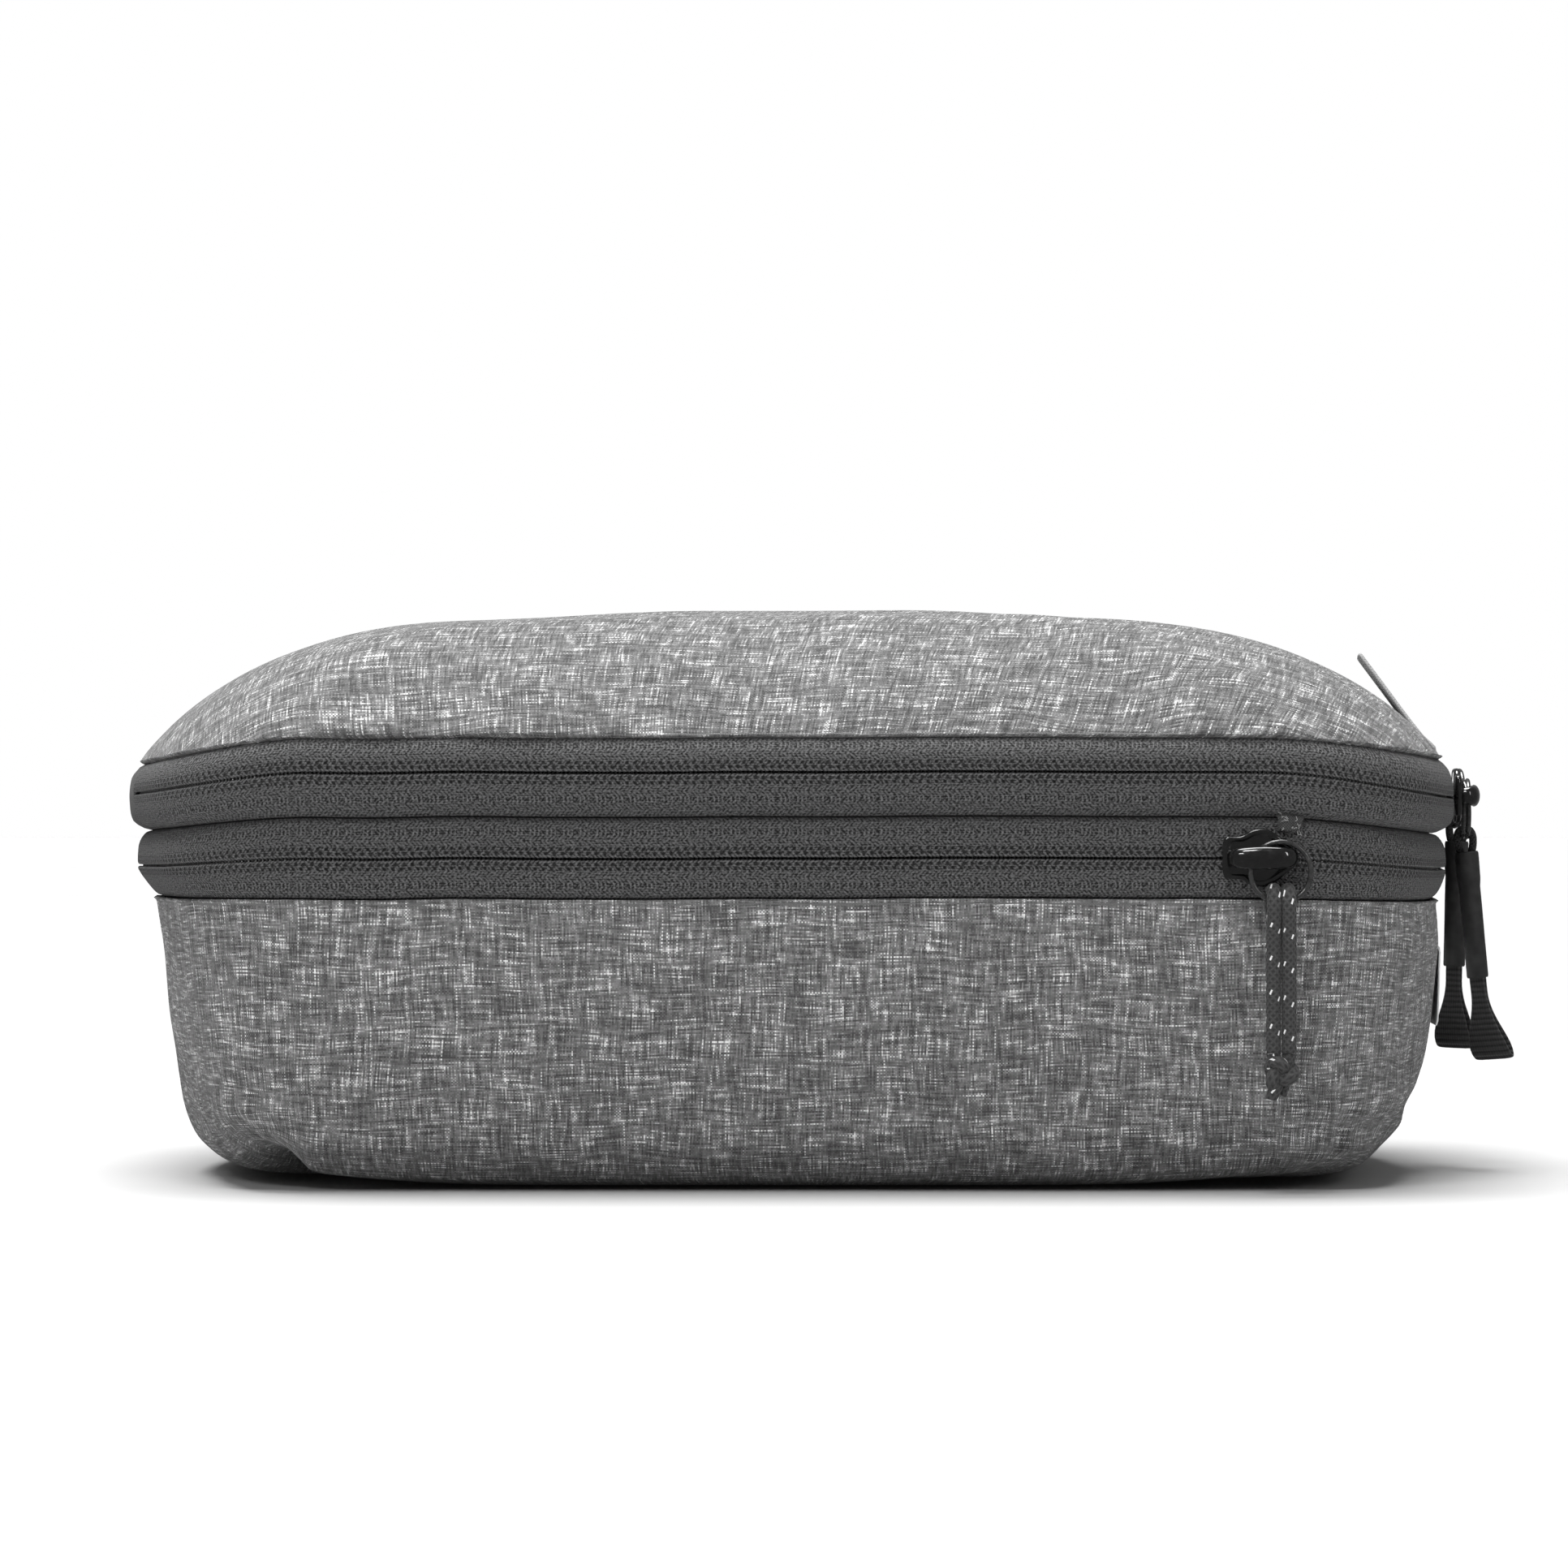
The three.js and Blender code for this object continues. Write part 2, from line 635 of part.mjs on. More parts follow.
function sleeveBody() {
  const { top, bottom, outer, lower, wall, step } = SLEEVE;
  const bore = lower - wall + 0.1;
  const profile = [
    [bore, bottom],
    [lower, bottom],
    [lower + 0.05, step - 0.4],
    [outer, step + 0.4],
    [outer, top],
    [bore + 0.15, top],
    [bore, bottom],
  ];
  const points = profile.map(([r, z]) => new THREE.Vector2(r, z));
  return new THREE.LatheGeometry(points, 14).rotateX(Math.PI / 2);
}

// The webbing leaves the sleeve as a narrow neck, spreads to its full width and folds back up.
function webbingBody() {
  const { thickness, neck, width, length, spread } = WEBBING;
  const start = SLEEVE.bottom - GAP;
  const sections = [];
  const count = 12;
  for (let i = 0; i <= count; i++) {
    const t = i / count;
    const down = Math.sin(Math.PI * t);
    const z = start - (length - thickness / 2) * Math.pow(down, 0.85);
    const x = -Math.sin(2 * Math.PI * t) * spread + (t - 0.5) * 1.7;
    const half = (neck + (width - neck) * smooth(down * 1.25)) / 2;
    const slope = Math.atan2(
      -(length * 0.85) * Math.PI * Math.cos(Math.PI * t),
      -2 * Math.PI * Math.cos(2 * Math.PI * t) * spread + 1.7,
    );
    const nx = (Math.sin(slope) * thickness) / 2;
    const nz = (-Math.cos(slope) * thickness) / 2;
    sections.push([
      [x - nx, -half, z - nz],
      [x + nx, -half, z + nz],
      [x + nx, half, z + nz],
      [x - nx, half, z - nz],
    ]);
  }
  return barBody(sections);
}

const endLine = heightAt(MAIN_LINE, HALF_LENGTH);
const endFace = END_RADIUS - insetAt(MAIN_LINE);
for (const { prefix, side, ringDrop, lean } of [
  { prefix: "main_front", side: -1, ringDrop: RING_DROP, lean: FRONT_PULL_LEAN },
  { prefix: "main_rear", side: 1, ringDrop: REAR_RING_DROP, lean: REAR_PULL_LEAN },
]) {
  // The slider's nose points to the middle of the end, so the rear one is turned over end for end.
  const angle = side * Math.asin(MAIN_SLIDER_Y / endFace);
  const out = new THREE.Vector3(Math.cos(angle), Math.sin(angle), 0);
  const nose = new THREE.Vector3(-out.y, out.x, 0).multiplyScalar(-side);
  const turn = new THREE.Euler().setFromRotationMatrix(
    new THREE.Matrix4().makeBasis(nose, new THREE.Vector3(0, 0, -side), out),
  );
  const place = new THREE.Vector3(END_CENTRE, 0, endLine).addScaledVector(out, endFace);
  const towardsNose = -side;
  addSlider(prefix, place.toArray(), [turn.x, turn.y, turn.z], ringDrop * towardsNose);
  const pull = new THREE.Group();
  pull.position.copy(place).addScaledVector(out, RING_PLANE).addScaledVector(nose, RING_ALONG);
  pull.position.z -= ringDrop + RING_RADIUS;
  pull.rotation.set(0, -THREE.MathUtils.degToRad(lean), angle, "ZYX");
  cube.add(pull);
  add(prefix + "_pull_loop", tubeBody(loopRoute(), LOOP_RADIUS, 26), WEBBING_BLACK, pull);
  add(prefix + "_pull_sleeve", sleeveBody(), SLEEVE_BLACK, pull);
  add(prefix + "_pull_webbing", webbingBody(), WEBBING_BLACK, pull);
}

// ---------------------------------------------------------------- grab tab and label

add("lid_grab_tab", stripBody(TAB_LINE, TAB.thickness, TAB.width), TAB_GREY);
add("end_label", stripBody(LABEL_LINE, LABEL.thickness, LABEL.width, LABEL.middle), LABEL_WHITE);

export default cube;
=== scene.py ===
"""The looks of a grey compression packing cube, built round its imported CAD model.

Lengths are in millimetres until a mesh is made, which is in metres like the frame.
+X is the length, the front is -Y, +Z is up, and the main zip's pulls hang at +X.
"""

import math

import bmesh
import bpy
import numpy as np
from mathutils import Matrix, Vector


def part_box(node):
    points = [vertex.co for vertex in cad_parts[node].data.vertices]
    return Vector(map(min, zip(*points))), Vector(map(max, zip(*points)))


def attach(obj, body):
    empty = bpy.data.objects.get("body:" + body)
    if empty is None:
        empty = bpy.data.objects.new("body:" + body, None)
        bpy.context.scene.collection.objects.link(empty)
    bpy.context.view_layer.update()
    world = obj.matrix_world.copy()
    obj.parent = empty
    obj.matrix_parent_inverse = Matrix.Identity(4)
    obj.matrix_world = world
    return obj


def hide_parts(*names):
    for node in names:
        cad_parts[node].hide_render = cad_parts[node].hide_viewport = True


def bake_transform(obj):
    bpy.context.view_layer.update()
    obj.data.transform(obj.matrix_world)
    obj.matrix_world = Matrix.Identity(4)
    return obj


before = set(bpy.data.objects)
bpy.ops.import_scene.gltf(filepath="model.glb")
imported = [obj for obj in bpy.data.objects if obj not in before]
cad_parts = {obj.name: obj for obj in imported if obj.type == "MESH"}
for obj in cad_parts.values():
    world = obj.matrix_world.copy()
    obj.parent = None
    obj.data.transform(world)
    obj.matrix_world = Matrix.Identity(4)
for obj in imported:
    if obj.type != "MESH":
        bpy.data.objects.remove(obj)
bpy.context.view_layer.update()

MM = 0.001
TAU = 2 * math.pi


def node_box(node):
    """A CAD node's lowest and highest corners, in millimetres."""
    low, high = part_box(node)
    return np.array(low) / MM, np.array(high) / MM


# ---------------------------------------------------------------- driving dimensions

SKIN_MARGIN = 0.1  # the widest tape stands in from the widest outline by this
LINE_GAP = 0.5  # half the gap between the two tapes of a zip in the CAD
EDGE_GAP = 0.24  # the same in the cloth drawn here, whose edges all but meet
SEAM_GAP = 0.15  # from a seam's level to the CAD cloth beside it
HINGE_GAP = 0.3  # between the hinge strip and the ends of the main zip's tapes
END_RADIUS = 230.0  # the stuffed ends bulge out in plan, as arcs of this radius
CORNER = 31.0  # radius of the widest outline's corners
LEAST_CORNER = 12.0
DROP_SHARE = 0.059  # the main zip sinks by this share of its height at the two ends
DROP_START = 85.0  # on X, where the sinking starts

HALF_LENGTH = node_box("main_zip_upper_tape")[1][0] + SKIN_MARGIN
HALF_DEPTH = node_box("main_zip_upper_tape")[1][1] + SKIN_MARGIN
TUB_SEAM = node_box("tub_shell")[1][2] + SEAM_GAP
COMPRESSION_LINE = node_box("compression_zip_lower_tape")[1][2] + LINE_GAP
MIDDLE_SEAM = node_box("compression_zip_upper_tape")[1][2] + SEAM_GAP
MAIN_LINE = node_box("main_zip_lower_tape")[1][2] + LINE_GAP
LID_SEAM = node_box("main_zip_upper_tape")[1][2] + SEAM_GAP
CROWN = node_box("lid_panel")[1][2]
HINGE_HALF_WIDTH = node_box("hinge_strip_lower")[1][1] + HINGE_GAP

TOOTH_PITCH = 1.5  # of a size 5 coil

# ---------------------------------------------------------------- number helpers


def smooth(t):
    """0 below 0, 1 above 1, and an easy curve between."""
    c = np.clip(t, 0.0, 1.0)
    return c * c * (3 - 2 * c)


def bell(x, middle, width):
    """1 at the middle, falling to 0 either side."""
    return np.exp(-(((x - middle) / width) ** 2))


def through(x, points):
    """A smooth curve through [x, y] points, without overshoot."""
    xs = np.array([p[0] for p in points], float)
    ys = np.array([p[1] for p in points], float)
    step = np.diff(xs)
    slope = np.diff(ys) / step
    tangent = np.zeros(len(xs))
    tangent[0], tangent[-1] = slope[0], slope[-1]
    same = slope[:-1] * slope[1:] > 0
    both = slope[:-1] + slope[1:]
    tangent[1:-1] = np.where(same, 2 * slope[:-1] * slope[1:] / np.where(same, both, 1), 0)
    x = np.clip(np.asarray(x, float), xs[0], xs[-1])
    i = np.clip(np.searchsorted(xs, x) - 1, 0, len(step) - 1)
    t = (x - xs[i]) / step[i]
    rise = ys[i] * (1 + 2 * t) * (1 - t) ** 2 + ys[i + 1] * t * t * (3 - 2 * t)
    return rise + step[i] * t * (1 - t) * (tangent[i] * (1 - t) - tangent[i + 1] * t)


def lattice(ix, iy, seed):
    """A repeatable random number from -1 to 1 for each whole-number place."""
    h = (ix * 374761393 + iy * 668265263 + seed * 974634777) & 0xFFFFFFFF
    h = ((h ^ (h >> 13)) * 1274126177) & 0xFFFFFFFF
    return ((h ^ (h >> 16)) & 0xFFFF) / 32767.5 - 1


def ripple(u, v, long_u, long_v, seed, around=None):
    """Smooth noise from -1 to 1, with features of about long_u by long_v. It closes after around."""
    turns = max(1, round(around / long_u)) if around else 1 << 20
    x = np.asarray(u, float) * (turns / around if around else 1 / long_u)
    y = np.asarray(v, float) / long_v + 100
    ix, iy = np.floor(x).astype(np.int64), np.floor(y).astype(np.int64)
    fx, fy = smooth(x - ix), smooth(y - iy)
    a, b = ix % turns, (ix + 1) % turns
    low = lattice(a, iy, seed) * (1 - fx) + lattice(b, iy, seed) * fx
    high = lattice(a, iy + 1, seed) * (1 - fx) + lattice(b, iy + 1, seed) * fx
    return low * (1 - fy) + high * fy


# ---------------------------------------------------------------- the cube's outline in plan

# Columns run round the cube, seen from above anticlockwise from the middle of the left end.
END_CENTRE = HALF_LENGTH - END_RADIUS  # of the right end's arc, on X


def corner_at(inset):
    """Radius, centre and starting angle of the outline's corners, standing in by inset."""
    radius = np.maximum(CORNER - inset, LEAST_CORNER)
    reach = END_RADIUS - inset - radius
    y = HALF_DEPTH - inset - radius
    turn = np.arcsin(y / reach)
    return radius, END_CENTRE + reach * np.cos(turn), y, turn


_, CORE_X, _, TURN = (float(v) for v in corner_at(0.0))
HALF_END = END_RADIUS * TURN
QUARTER = CORNER * (math.pi / 2 - TURN)
STRETCHES = np.array([
    HALF_END, QUARTER, 2 * CORE_X, QUARTER, 2 * HALF_END, QUARTER, 2 * CORE_X, QUARTER, HALF_END,
])
STRETCH_ENDS = np.cumsum(STRETCHES)
ROUND = float(STRETCH_ENDS[-1])
COLUMNS = round(ROUND / TOOTH_PITCH)


def ring_at(u, inset):
    """Points at distances u round the outline that stands in by inset from the widest one."""
    u = np.asarray(u, float) % ROUND
    inset = np.broadcast_to(np.asarray(inset, float), u.shape)
    part = np.searchsorted(STRETCH_ENDS, u, side="right").clip(0, 8)
    t = (u - (STRETCH_ENDS - STRETCHES)[part]) / STRETCHES[part]
    radius, cx, cy, turn = corner_at(inset)
    end_radius = END_RADIUS - inset
    quarter = math.pi / 2
    # Stretches 2 and 6 are the straight front and back.
    side = np.where(part == 2, -1, 1)
    x = side * cx * (1 - 2 * t)
    y = side * (cy + radius)
    # The others are arcs: centre, radius, and first and last angle from the middle of the left end.
    arcs = {
        0: (-END_CENTRE, 0, end_radius, 0, turn),
        1: (-cx, -cy, radius, turn, quarter),
        3: (cx, -cy, radius, quarter, 2 * quarter - turn),
        4: (END_CENTRE, 0, end_radius, 2 * quarter - turn, 2 * quarter + turn),
        5: (cx, cy, radius, 2 * quarter + turn, 3 * quarter),
        7: (-cx, cy, radius, 3 * quarter, 4 * quarter - turn),
        8: (-END_CENTRE, 0, end_radius, 4 * quarter - turn, 4 * quarter),
    }
    for stretch, (centre_x, centre_y, r, first, last) in arcs.items():
        angle = math.pi + first * (1 - t) + last * t
        x = np.where(part == stretch, centre_x + r * np.cos(angle), x)
        y = np.where(part == stretch, centre_y + r * np.sin(angle), y)
    return np.stack([x, y], -1)


def outward(u):
    """The direction that the widest outline faces at distances u."""
    away = ring_at(u, 0.0) - ring_at(u, 1.0)
    return away / np.linalg.norm(away, axis=-1, keepdims=True)


def column_distances(count=COLUMNS, first=0.0, last=ROUND, closed=True):
    """Evenly spaced distances round the outline; a closed run leaves its last one out."""
    return np.linspace(first, last, count, endpoint=not closed)


def wave(u):
    """The gentle rise and fall of every seam along the cube."""
    return 0.5 * ripple(u, 0, 62, 1, 5, ROUND) + 0.15 * ripple(u, 0, 17, 1, 6, ROUND)


LID_DROP = DROP_SHARE * LID_SEAM + 0.3
# How far each level sinks towards the two ends. The zips sag more than the tub's rim does.
SAG = [
    [0, 0], [42, 0.5], [TUB_SEAM, 0.9], [COMPRESSION_LINE, 2.4], [MIDDLE_SEAM, 3.4],
    [MAIN_LINE, DROP_SHARE * MAIN_LINE], [LID_SEAM, LID_DROP], [LID_SEAM + 2, LID_DROP],
]
RIGHT_LID_LIFT = 1.7  # the lid's seam sags less than that at the right end
LIFT_START = MAIN_LINE + 0.5


def height_at(level, x, u):
    """How high a level of the drooping cube is, at x and at a distance u round it."""
    share = smooth((np.abs(x) - DROP_START) / (HALF_LENGTH - DROP_START))
    held_up = RIGHT_LID_LIFT * (x > 0) * smooth((level - LIFT_START) / (LID_SEAM - LIFT_START))
    return level - (through(level, SAG) - held_up) * share + wave(u) * smooth(level / 40)


# The skin's inset at each level.
SKIN = [
    [0, 36], [0.5, 26], [2, 18.2], [4.3, 13.6], [7, 11], [10, 9.6], [14, 8.4], [22, 6.9], [30, 5.7],
    [42, 4.3], [TUB_SEAM, 2.6], [57, 1.9], [COMPRESSION_LINE, 1.7], [65, 2.0], [MIDDLE_SEAM, 2.9],
    [70.5, 0.9], [72.8, 0.3], [MAIN_LINE, 0.1], [79.6, 0.6], [LID_SEAM, 2.4],
]


def inset_at(level):
    """How far the skin stands in from the widest outline at a level."""
    return through(level, SKIN)


# How much further in the two ends stand below the compression zip. The right one is packed fuller.
LEFT_SLACK = [[0, 2.5], [46, 2.4], [TUB_SEAM, 2.5], [COMPRESSION_LINE - 0.6, 0]]
RIGHT_SLACK = [
    [0, 0.8], [4, 0.4], [10.5, 0.5], [18, -1.1], [27, -1.2], [36, -1.1], [44, -0.8], [49, 0.1],
    [TUB_SEAM, 1.0], [COMPRESSION_LINE - 0.6, 0],
]


def end_slack(u, level):
    """The extra inset of the left or the right end at a distance u, and none on the long sides."""
    way = outward(u)[:, 0]
    left, right = (np.clip(side * way, 0, 1) ** 1.5 for side in (-1, 1))
    return through(level, LEFT_SLACK) * left + through(level, RIGHT_SLACK) * right


def wall_row(u, level, inset, lift=0.0):
    """Points round the cube at one level, standing in by inset from the widest outline."""
    plan = ring_at(u, inset)
    return np.column_stack([plan, height_at(level, plan[:, 0], u) + lift])


def wall_coords(rows, marks):
    """Pattern coordinates of rows of points: the marks along them, and the mean distance across them."""
    steps = [0.0] + [np.linalg.norm(b - a, axis=1).mean() for a, b in zip(rows, rows[1:])]
    return np.array([[(mark, far, 0) for mark in marks] for far in np.cumsum(steps)])


# ---------------------------------------------------------------- mesh helpers


def new_object(name, points, faces, body, corners, materials):
    """A smooth mesh from points in millimetres. corners holds one pattern vector for each face corner."""
    mesh = bpy.data.meshes.new(name)
    mesh.from_pydata([tuple(p) for p in np.asarray(points) * MM], [], [tuple(f) for f in faces])
    layer = mesh.attributes.new("cloth", "FLOAT_VECTOR", "CORNER")
    layer.data.foreach_set("vector", np.asarray(corners, np.float32).ravel())
    mesh.polygons.foreach_set("use_smooth", [True] * len(mesh.polygons))
    for finish in materials:
        mesh.materials.append(finish)
    mesh.update()
    obj = bpy.data.objects.new(name, mesh)
    bpy.context.scene.collection.objects.link(obj)
    if body:
        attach(obj, body)
    return obj


def grid(rows, coords, closed_u=True, closed_v=False, flip=False):
    """Points, faces and corner vectors of a sheet. rows[j][i] is a point; coords[j][i] has one more i
    where the columns close, so that a pattern runs on over the join."""
    rows = np.asarray(rows, float)
    nv, nu = rows.shape[:2]
    faces, corners = [], []
    for j in range(nv if closed_v else nv - 1):
        k = (j + 1) % nv
        for i in range(nu if closed_u else nu - 1):
            m = (i + 1) % nu
            faces.append([j * nu + i, j * nu + m, k * nu + m, k * nu + i])
            corners.append([coords[j][i], coords[j][i + 1], coords[j + 1][i + 1], coords[j + 1][i]])
    faces, corners = np.array(faces), np.array(corners)
    if flip:
        faces, corners = faces[:, ::-1], corners[:, ::-1]
    return rows.reshape(-1, 3), faces, corners.reshape(-1, 3)


def faces_out(points, faces, centre):
    """Whether the faces look away from the centre, taken all together."""
    p = points[faces]
    normal = np.cross(p[:, 1] - p[:, 0], p[:, 2] - p[:, 0])
    return float((normal * (p.mean(1) - centre)).sum()) > 0


def sheet_object(name, rows, coords, body, materials, closed_u=True, closed_v=False, centre=(0, 0, 50)):
    """A sheet as an object, with its faces turned away from the centre."""
    points, faces, corners = grid(rows, coords, closed_u, closed_v)
    if not faces_out(points, faces, np.array(centre)):
        points, faces, corners = grid(rows, coords, closed_u, closed_v, flip=True)
    return new_object(name, points, faces, body, corners, materials)


def thicken(obj, thickness, inner_slot=0):
    """Gives a sheet its thickness, inwards. inner_slot is the material of its inside."""
    shell = obj.modifiers.new("Thickness", "SOLIDIFY")
    shell.thickness = thickness * MM
    shell.offset = -1
    shell.material_offset = inner_slot
    shell.material_offset_rim = 0


def apply_modifiers(obj):
    """Turns the object's modifiers into mesh."""
    depsgraph = bpy.context.evaluated_depsgraph_get()
    mesh = bpy.data.meshes.new_from_object(obj.evaluated_get(depsgraph))
    old = obj.data
    obj.modifiers.clear()
    obj.data = mesh
    bpy.data.meshes.remove(old)


def spline(points, count):
    """count points, evenly spaced along a Catmull-Rom curve through the given ones."""
    p = np.asarray(points, float)
    p = np.vstack([2 * p[0] - p[1], p, 2 * p[-1] - p[-2]])
    fine = []
    for i in range(1, len(p) - 2):
        for t in np.linspace(0, 1, 16, endpoint=False):
            a = 2 * p[i]
            b = (p[i + 1] - p[i - 1]) * t
            c = (2 * p[i - 1] - 5 * p[i] + 4 * p[i + 1] - p[i + 2]) * t * t
            d = (3 * p[i] - p[i - 1] - 3 * p[i + 1] + p[i + 2]) * t ** 3
            fine.append((a + b + c + d) / 2)
    return evenly(np.array(fine + [p[-2]]), count)


def distances(line):
    """The distance along a line to each of its points."""
    return np.concatenate([[0], np.cumsum(np.linalg.norm(np.diff(line, axis=0), axis=1))])


def directions(line):
    """Unit vectors along a line, at its points."""
    way = np.gradient(line, axis=0)
    return way / np.linalg.norm(way, axis=1)[:, None]


def evenly(line, count):
    """count points, evenly spaced along a line of points."""
    along = distances(line)
    at = np.linspace(0, along[-1], count)
    return np.stack([np.interp(at, along, line[:, k]) for k in range(3)], 1)


def tube(line, radius, sides, closed):
    """Rows and coordinates (along, round, 0) of a tube along a line."""
    way = directions(line)
    if closed:
        way = np.roll(line, -1, 0) - np.roll(line, 1, 0)
        way /= np.linalg.norm(way, axis=1)[:, None]
    side = np.cross(way[0], [0.0, 0.0, 1.0])
    if np.linalg.norm(side) < 0.1:
        side = np.cross(way[0], [0.0, 1.0, 0.0])
    along = distances(line)
    turn = np.arange(sides) * TAU / sides
    rows, coords = [], []
    for k, centre in enumerate(line):
        side = side - way[k] * side.dot(way[k])
        side /= np.linalg.norm(side)
        up = np.cross(way[k], side)
        offsets = np.cos(turn)[:, None] * side + np.sin(turn)[:, None] * up
        rows.append(centre + offsets * radius)
        coords.append([(along[k], i * TAU / sides * radius, 0) for i in range(sides + 1)])
    if closed:
        whole = along[-1] + np.linalg.norm(line[0] - line[-1])
        coords.append([(whole, c[1], 0) for c in coords[0]])
    return np.array(rows), np.array(coords)


def tube_mesh(line, radius, sides=12, closed=False):
    """Points, faces and corner vectors of a tube, with flat ends unless it is closed."""
    rows, coords = tube(np.asarray(line, float), radius, sides, closed)
    points, faces, corners = grid(rows, coords, True, closed, flip=True)
    faces, corners = list(map(list, faces)), list(map(tuple, corners))
    if not closed:
        first = list(range(sides))
        last = [(len(rows) - 1) * sides + i for i in first]
        faces += [first, last[::-1]]
        corners += [tuple(coords[0][0])] * sides + [tuple(coords[len(rows) - 1][0])] * sides
    return points, faces, corners


def joined(pieces):
    """Several (points, faces, corners) as one."""
    points, faces, corners, first = [], [], [], 0
    for p, f, c in pieces:
        points.append(p)
        faces += [[int(v) + first for v in face] for face in f]
        corners += [tuple(x) for x in c]
        first += len(p)
    return np.vstack(points), faces, corners


def tube_object(name, line, radius, body, finish, sides=12):
    points, faces, corners = tube_mesh(line, radius, sides)
    return new_object(name, points, faces, body, corners, [finish])


# ---------------------------------------------------------------- material helpers


class Signal:
    """A number or a colour in a material's node tree, which takes part in arithmetic."""

    def __init__(self, shader, socket):
        self.shader = shader
        self.socket = socket

    def __add__(self, other):
        return self.shader.math("ADD", self, other)

    def __sub__(self, other):
        return self.shader.math("SUBTRACT", self, other)

    def __rsub__(self, other):
        return self.shader.math("SUBTRACT", other, self)

    def __mul__(self, other):
        return self.shader.math("MULTIPLY", self, other)

    def __truediv__(self, other):
        return self.shader.math("DIVIDE", self, other)

    def __abs__(self):
        return self.shader.math("ABSOLUTE", self)


class Shader:
    """A procedural material under construction. Lengths in its pattern are in millimetres."""

    def __init__(self, name, rough, specular):
        self.material = bpy.data.materials.new(name)
        self.material.use_nodes = True
        self.tree = self.material.node_tree
        self.bsdf = self.tree.nodes["Principled BSDF"]
        self.set("Roughness", rough)
        self.set("Specular IOR Level", specular)

    def set(self, socket, value):
        self.put(self.bsdf.inputs[socket], value)

    def put(self, socket, value):
        if isinstance(value, Signal):
            self.tree.links.new(value.socket, socket)
        else:
            socket.default_value = value

    def node(self, kind, values=(), output=0, **settings):
        """Adds a node and returns one of its outputs. values go to its first inputs, or to named ones."""
        node = self.tree.nodes.new(kind)
        for key, value in settings.items():
            setattr(node, key, value)
        for key, value in values.items() if isinstance(values, dict) else enumerate(values):
            self.put(node.inputs[key], value)
        return Signal(self, node.outputs[output])

    def math(self, operation, *values):
        return self.node("ShaderNodeMath", values, operation=operation)

    def cloth(self):
        """The piece's own two pattern coordinates, in millimetres."""
        vector = self.node("ShaderNodeAttribute", output="Vector", attribute_name="cloth")
        u = self.node("ShaderNodeSeparateXYZ", [vector])
        return u, Signal(self, u.socket.node.outputs[1])

    def place(self):
        """The point on the object, in millimetres."""
        vector = self.node("ShaderNodeTexCoord", output="Object")
        return self.tint(vector, (1 / MM,) * 3)

    def vector(self, x, y, z=0.0):
        return self.node("ShaderNodeCombineXYZ", [x, y, z])

    def noise(self, vector, scale=1.0, detail=2.0, rough=0.5):
        values = {"Vector": vector, "Scale": scale, "Detail": detail, "Roughness": rough}
        return self.node("ShaderNodeTexNoise", values, output="Fac")

    def wave(self, value, pitch):
        return self.math("SINE", value * (TAU / pitch))

    def from_mark(self, value, pitch):
        """Distance from the nearest of a row of marks, one every pitch."""
        return self.math("PINGPONG", value, pitch / 2)

    def step(self, value, low, high, out_low=0.0, out_high=1.0):
        values = [value, low, high, out_low, out_high]
        return self.node("ShaderNodeMapRange", values, interpolation_type="SMOOTHSTEP")

    def ramp(self, value, stops):
        """Grey levels, as [position, linear grey]."""
        colour = self.node("ShaderNodeValToRGB", [value])
        elements = colour.socket.node.color_ramp.elements
        while len(elements) < len(stops):
            elements.new(0.5)
        for element, (position, grey) in zip(elements, stops):
            element.position = position
            element.color = (grey, grey, grey, 1)
        return colour

    def tint(self, colour, factor):
        """colour multiplied by a factor."""
        return self.node("ShaderNodeVectorMath", [colour, factor], operation="MULTIPLY")

    def bump(self, height, distance, strength):
        values = {"Height": height, "Distance": distance * MM, "Strength": strength}
        self.set("Normal", self.node("ShaderNodeBump", values, output="Normal"))


# ---------------------------------------------------------------- materials

YARN = 0.3  # pitch of the heather cloth's yarns
RIB = 1.05  # pitch of the webbing's ribs


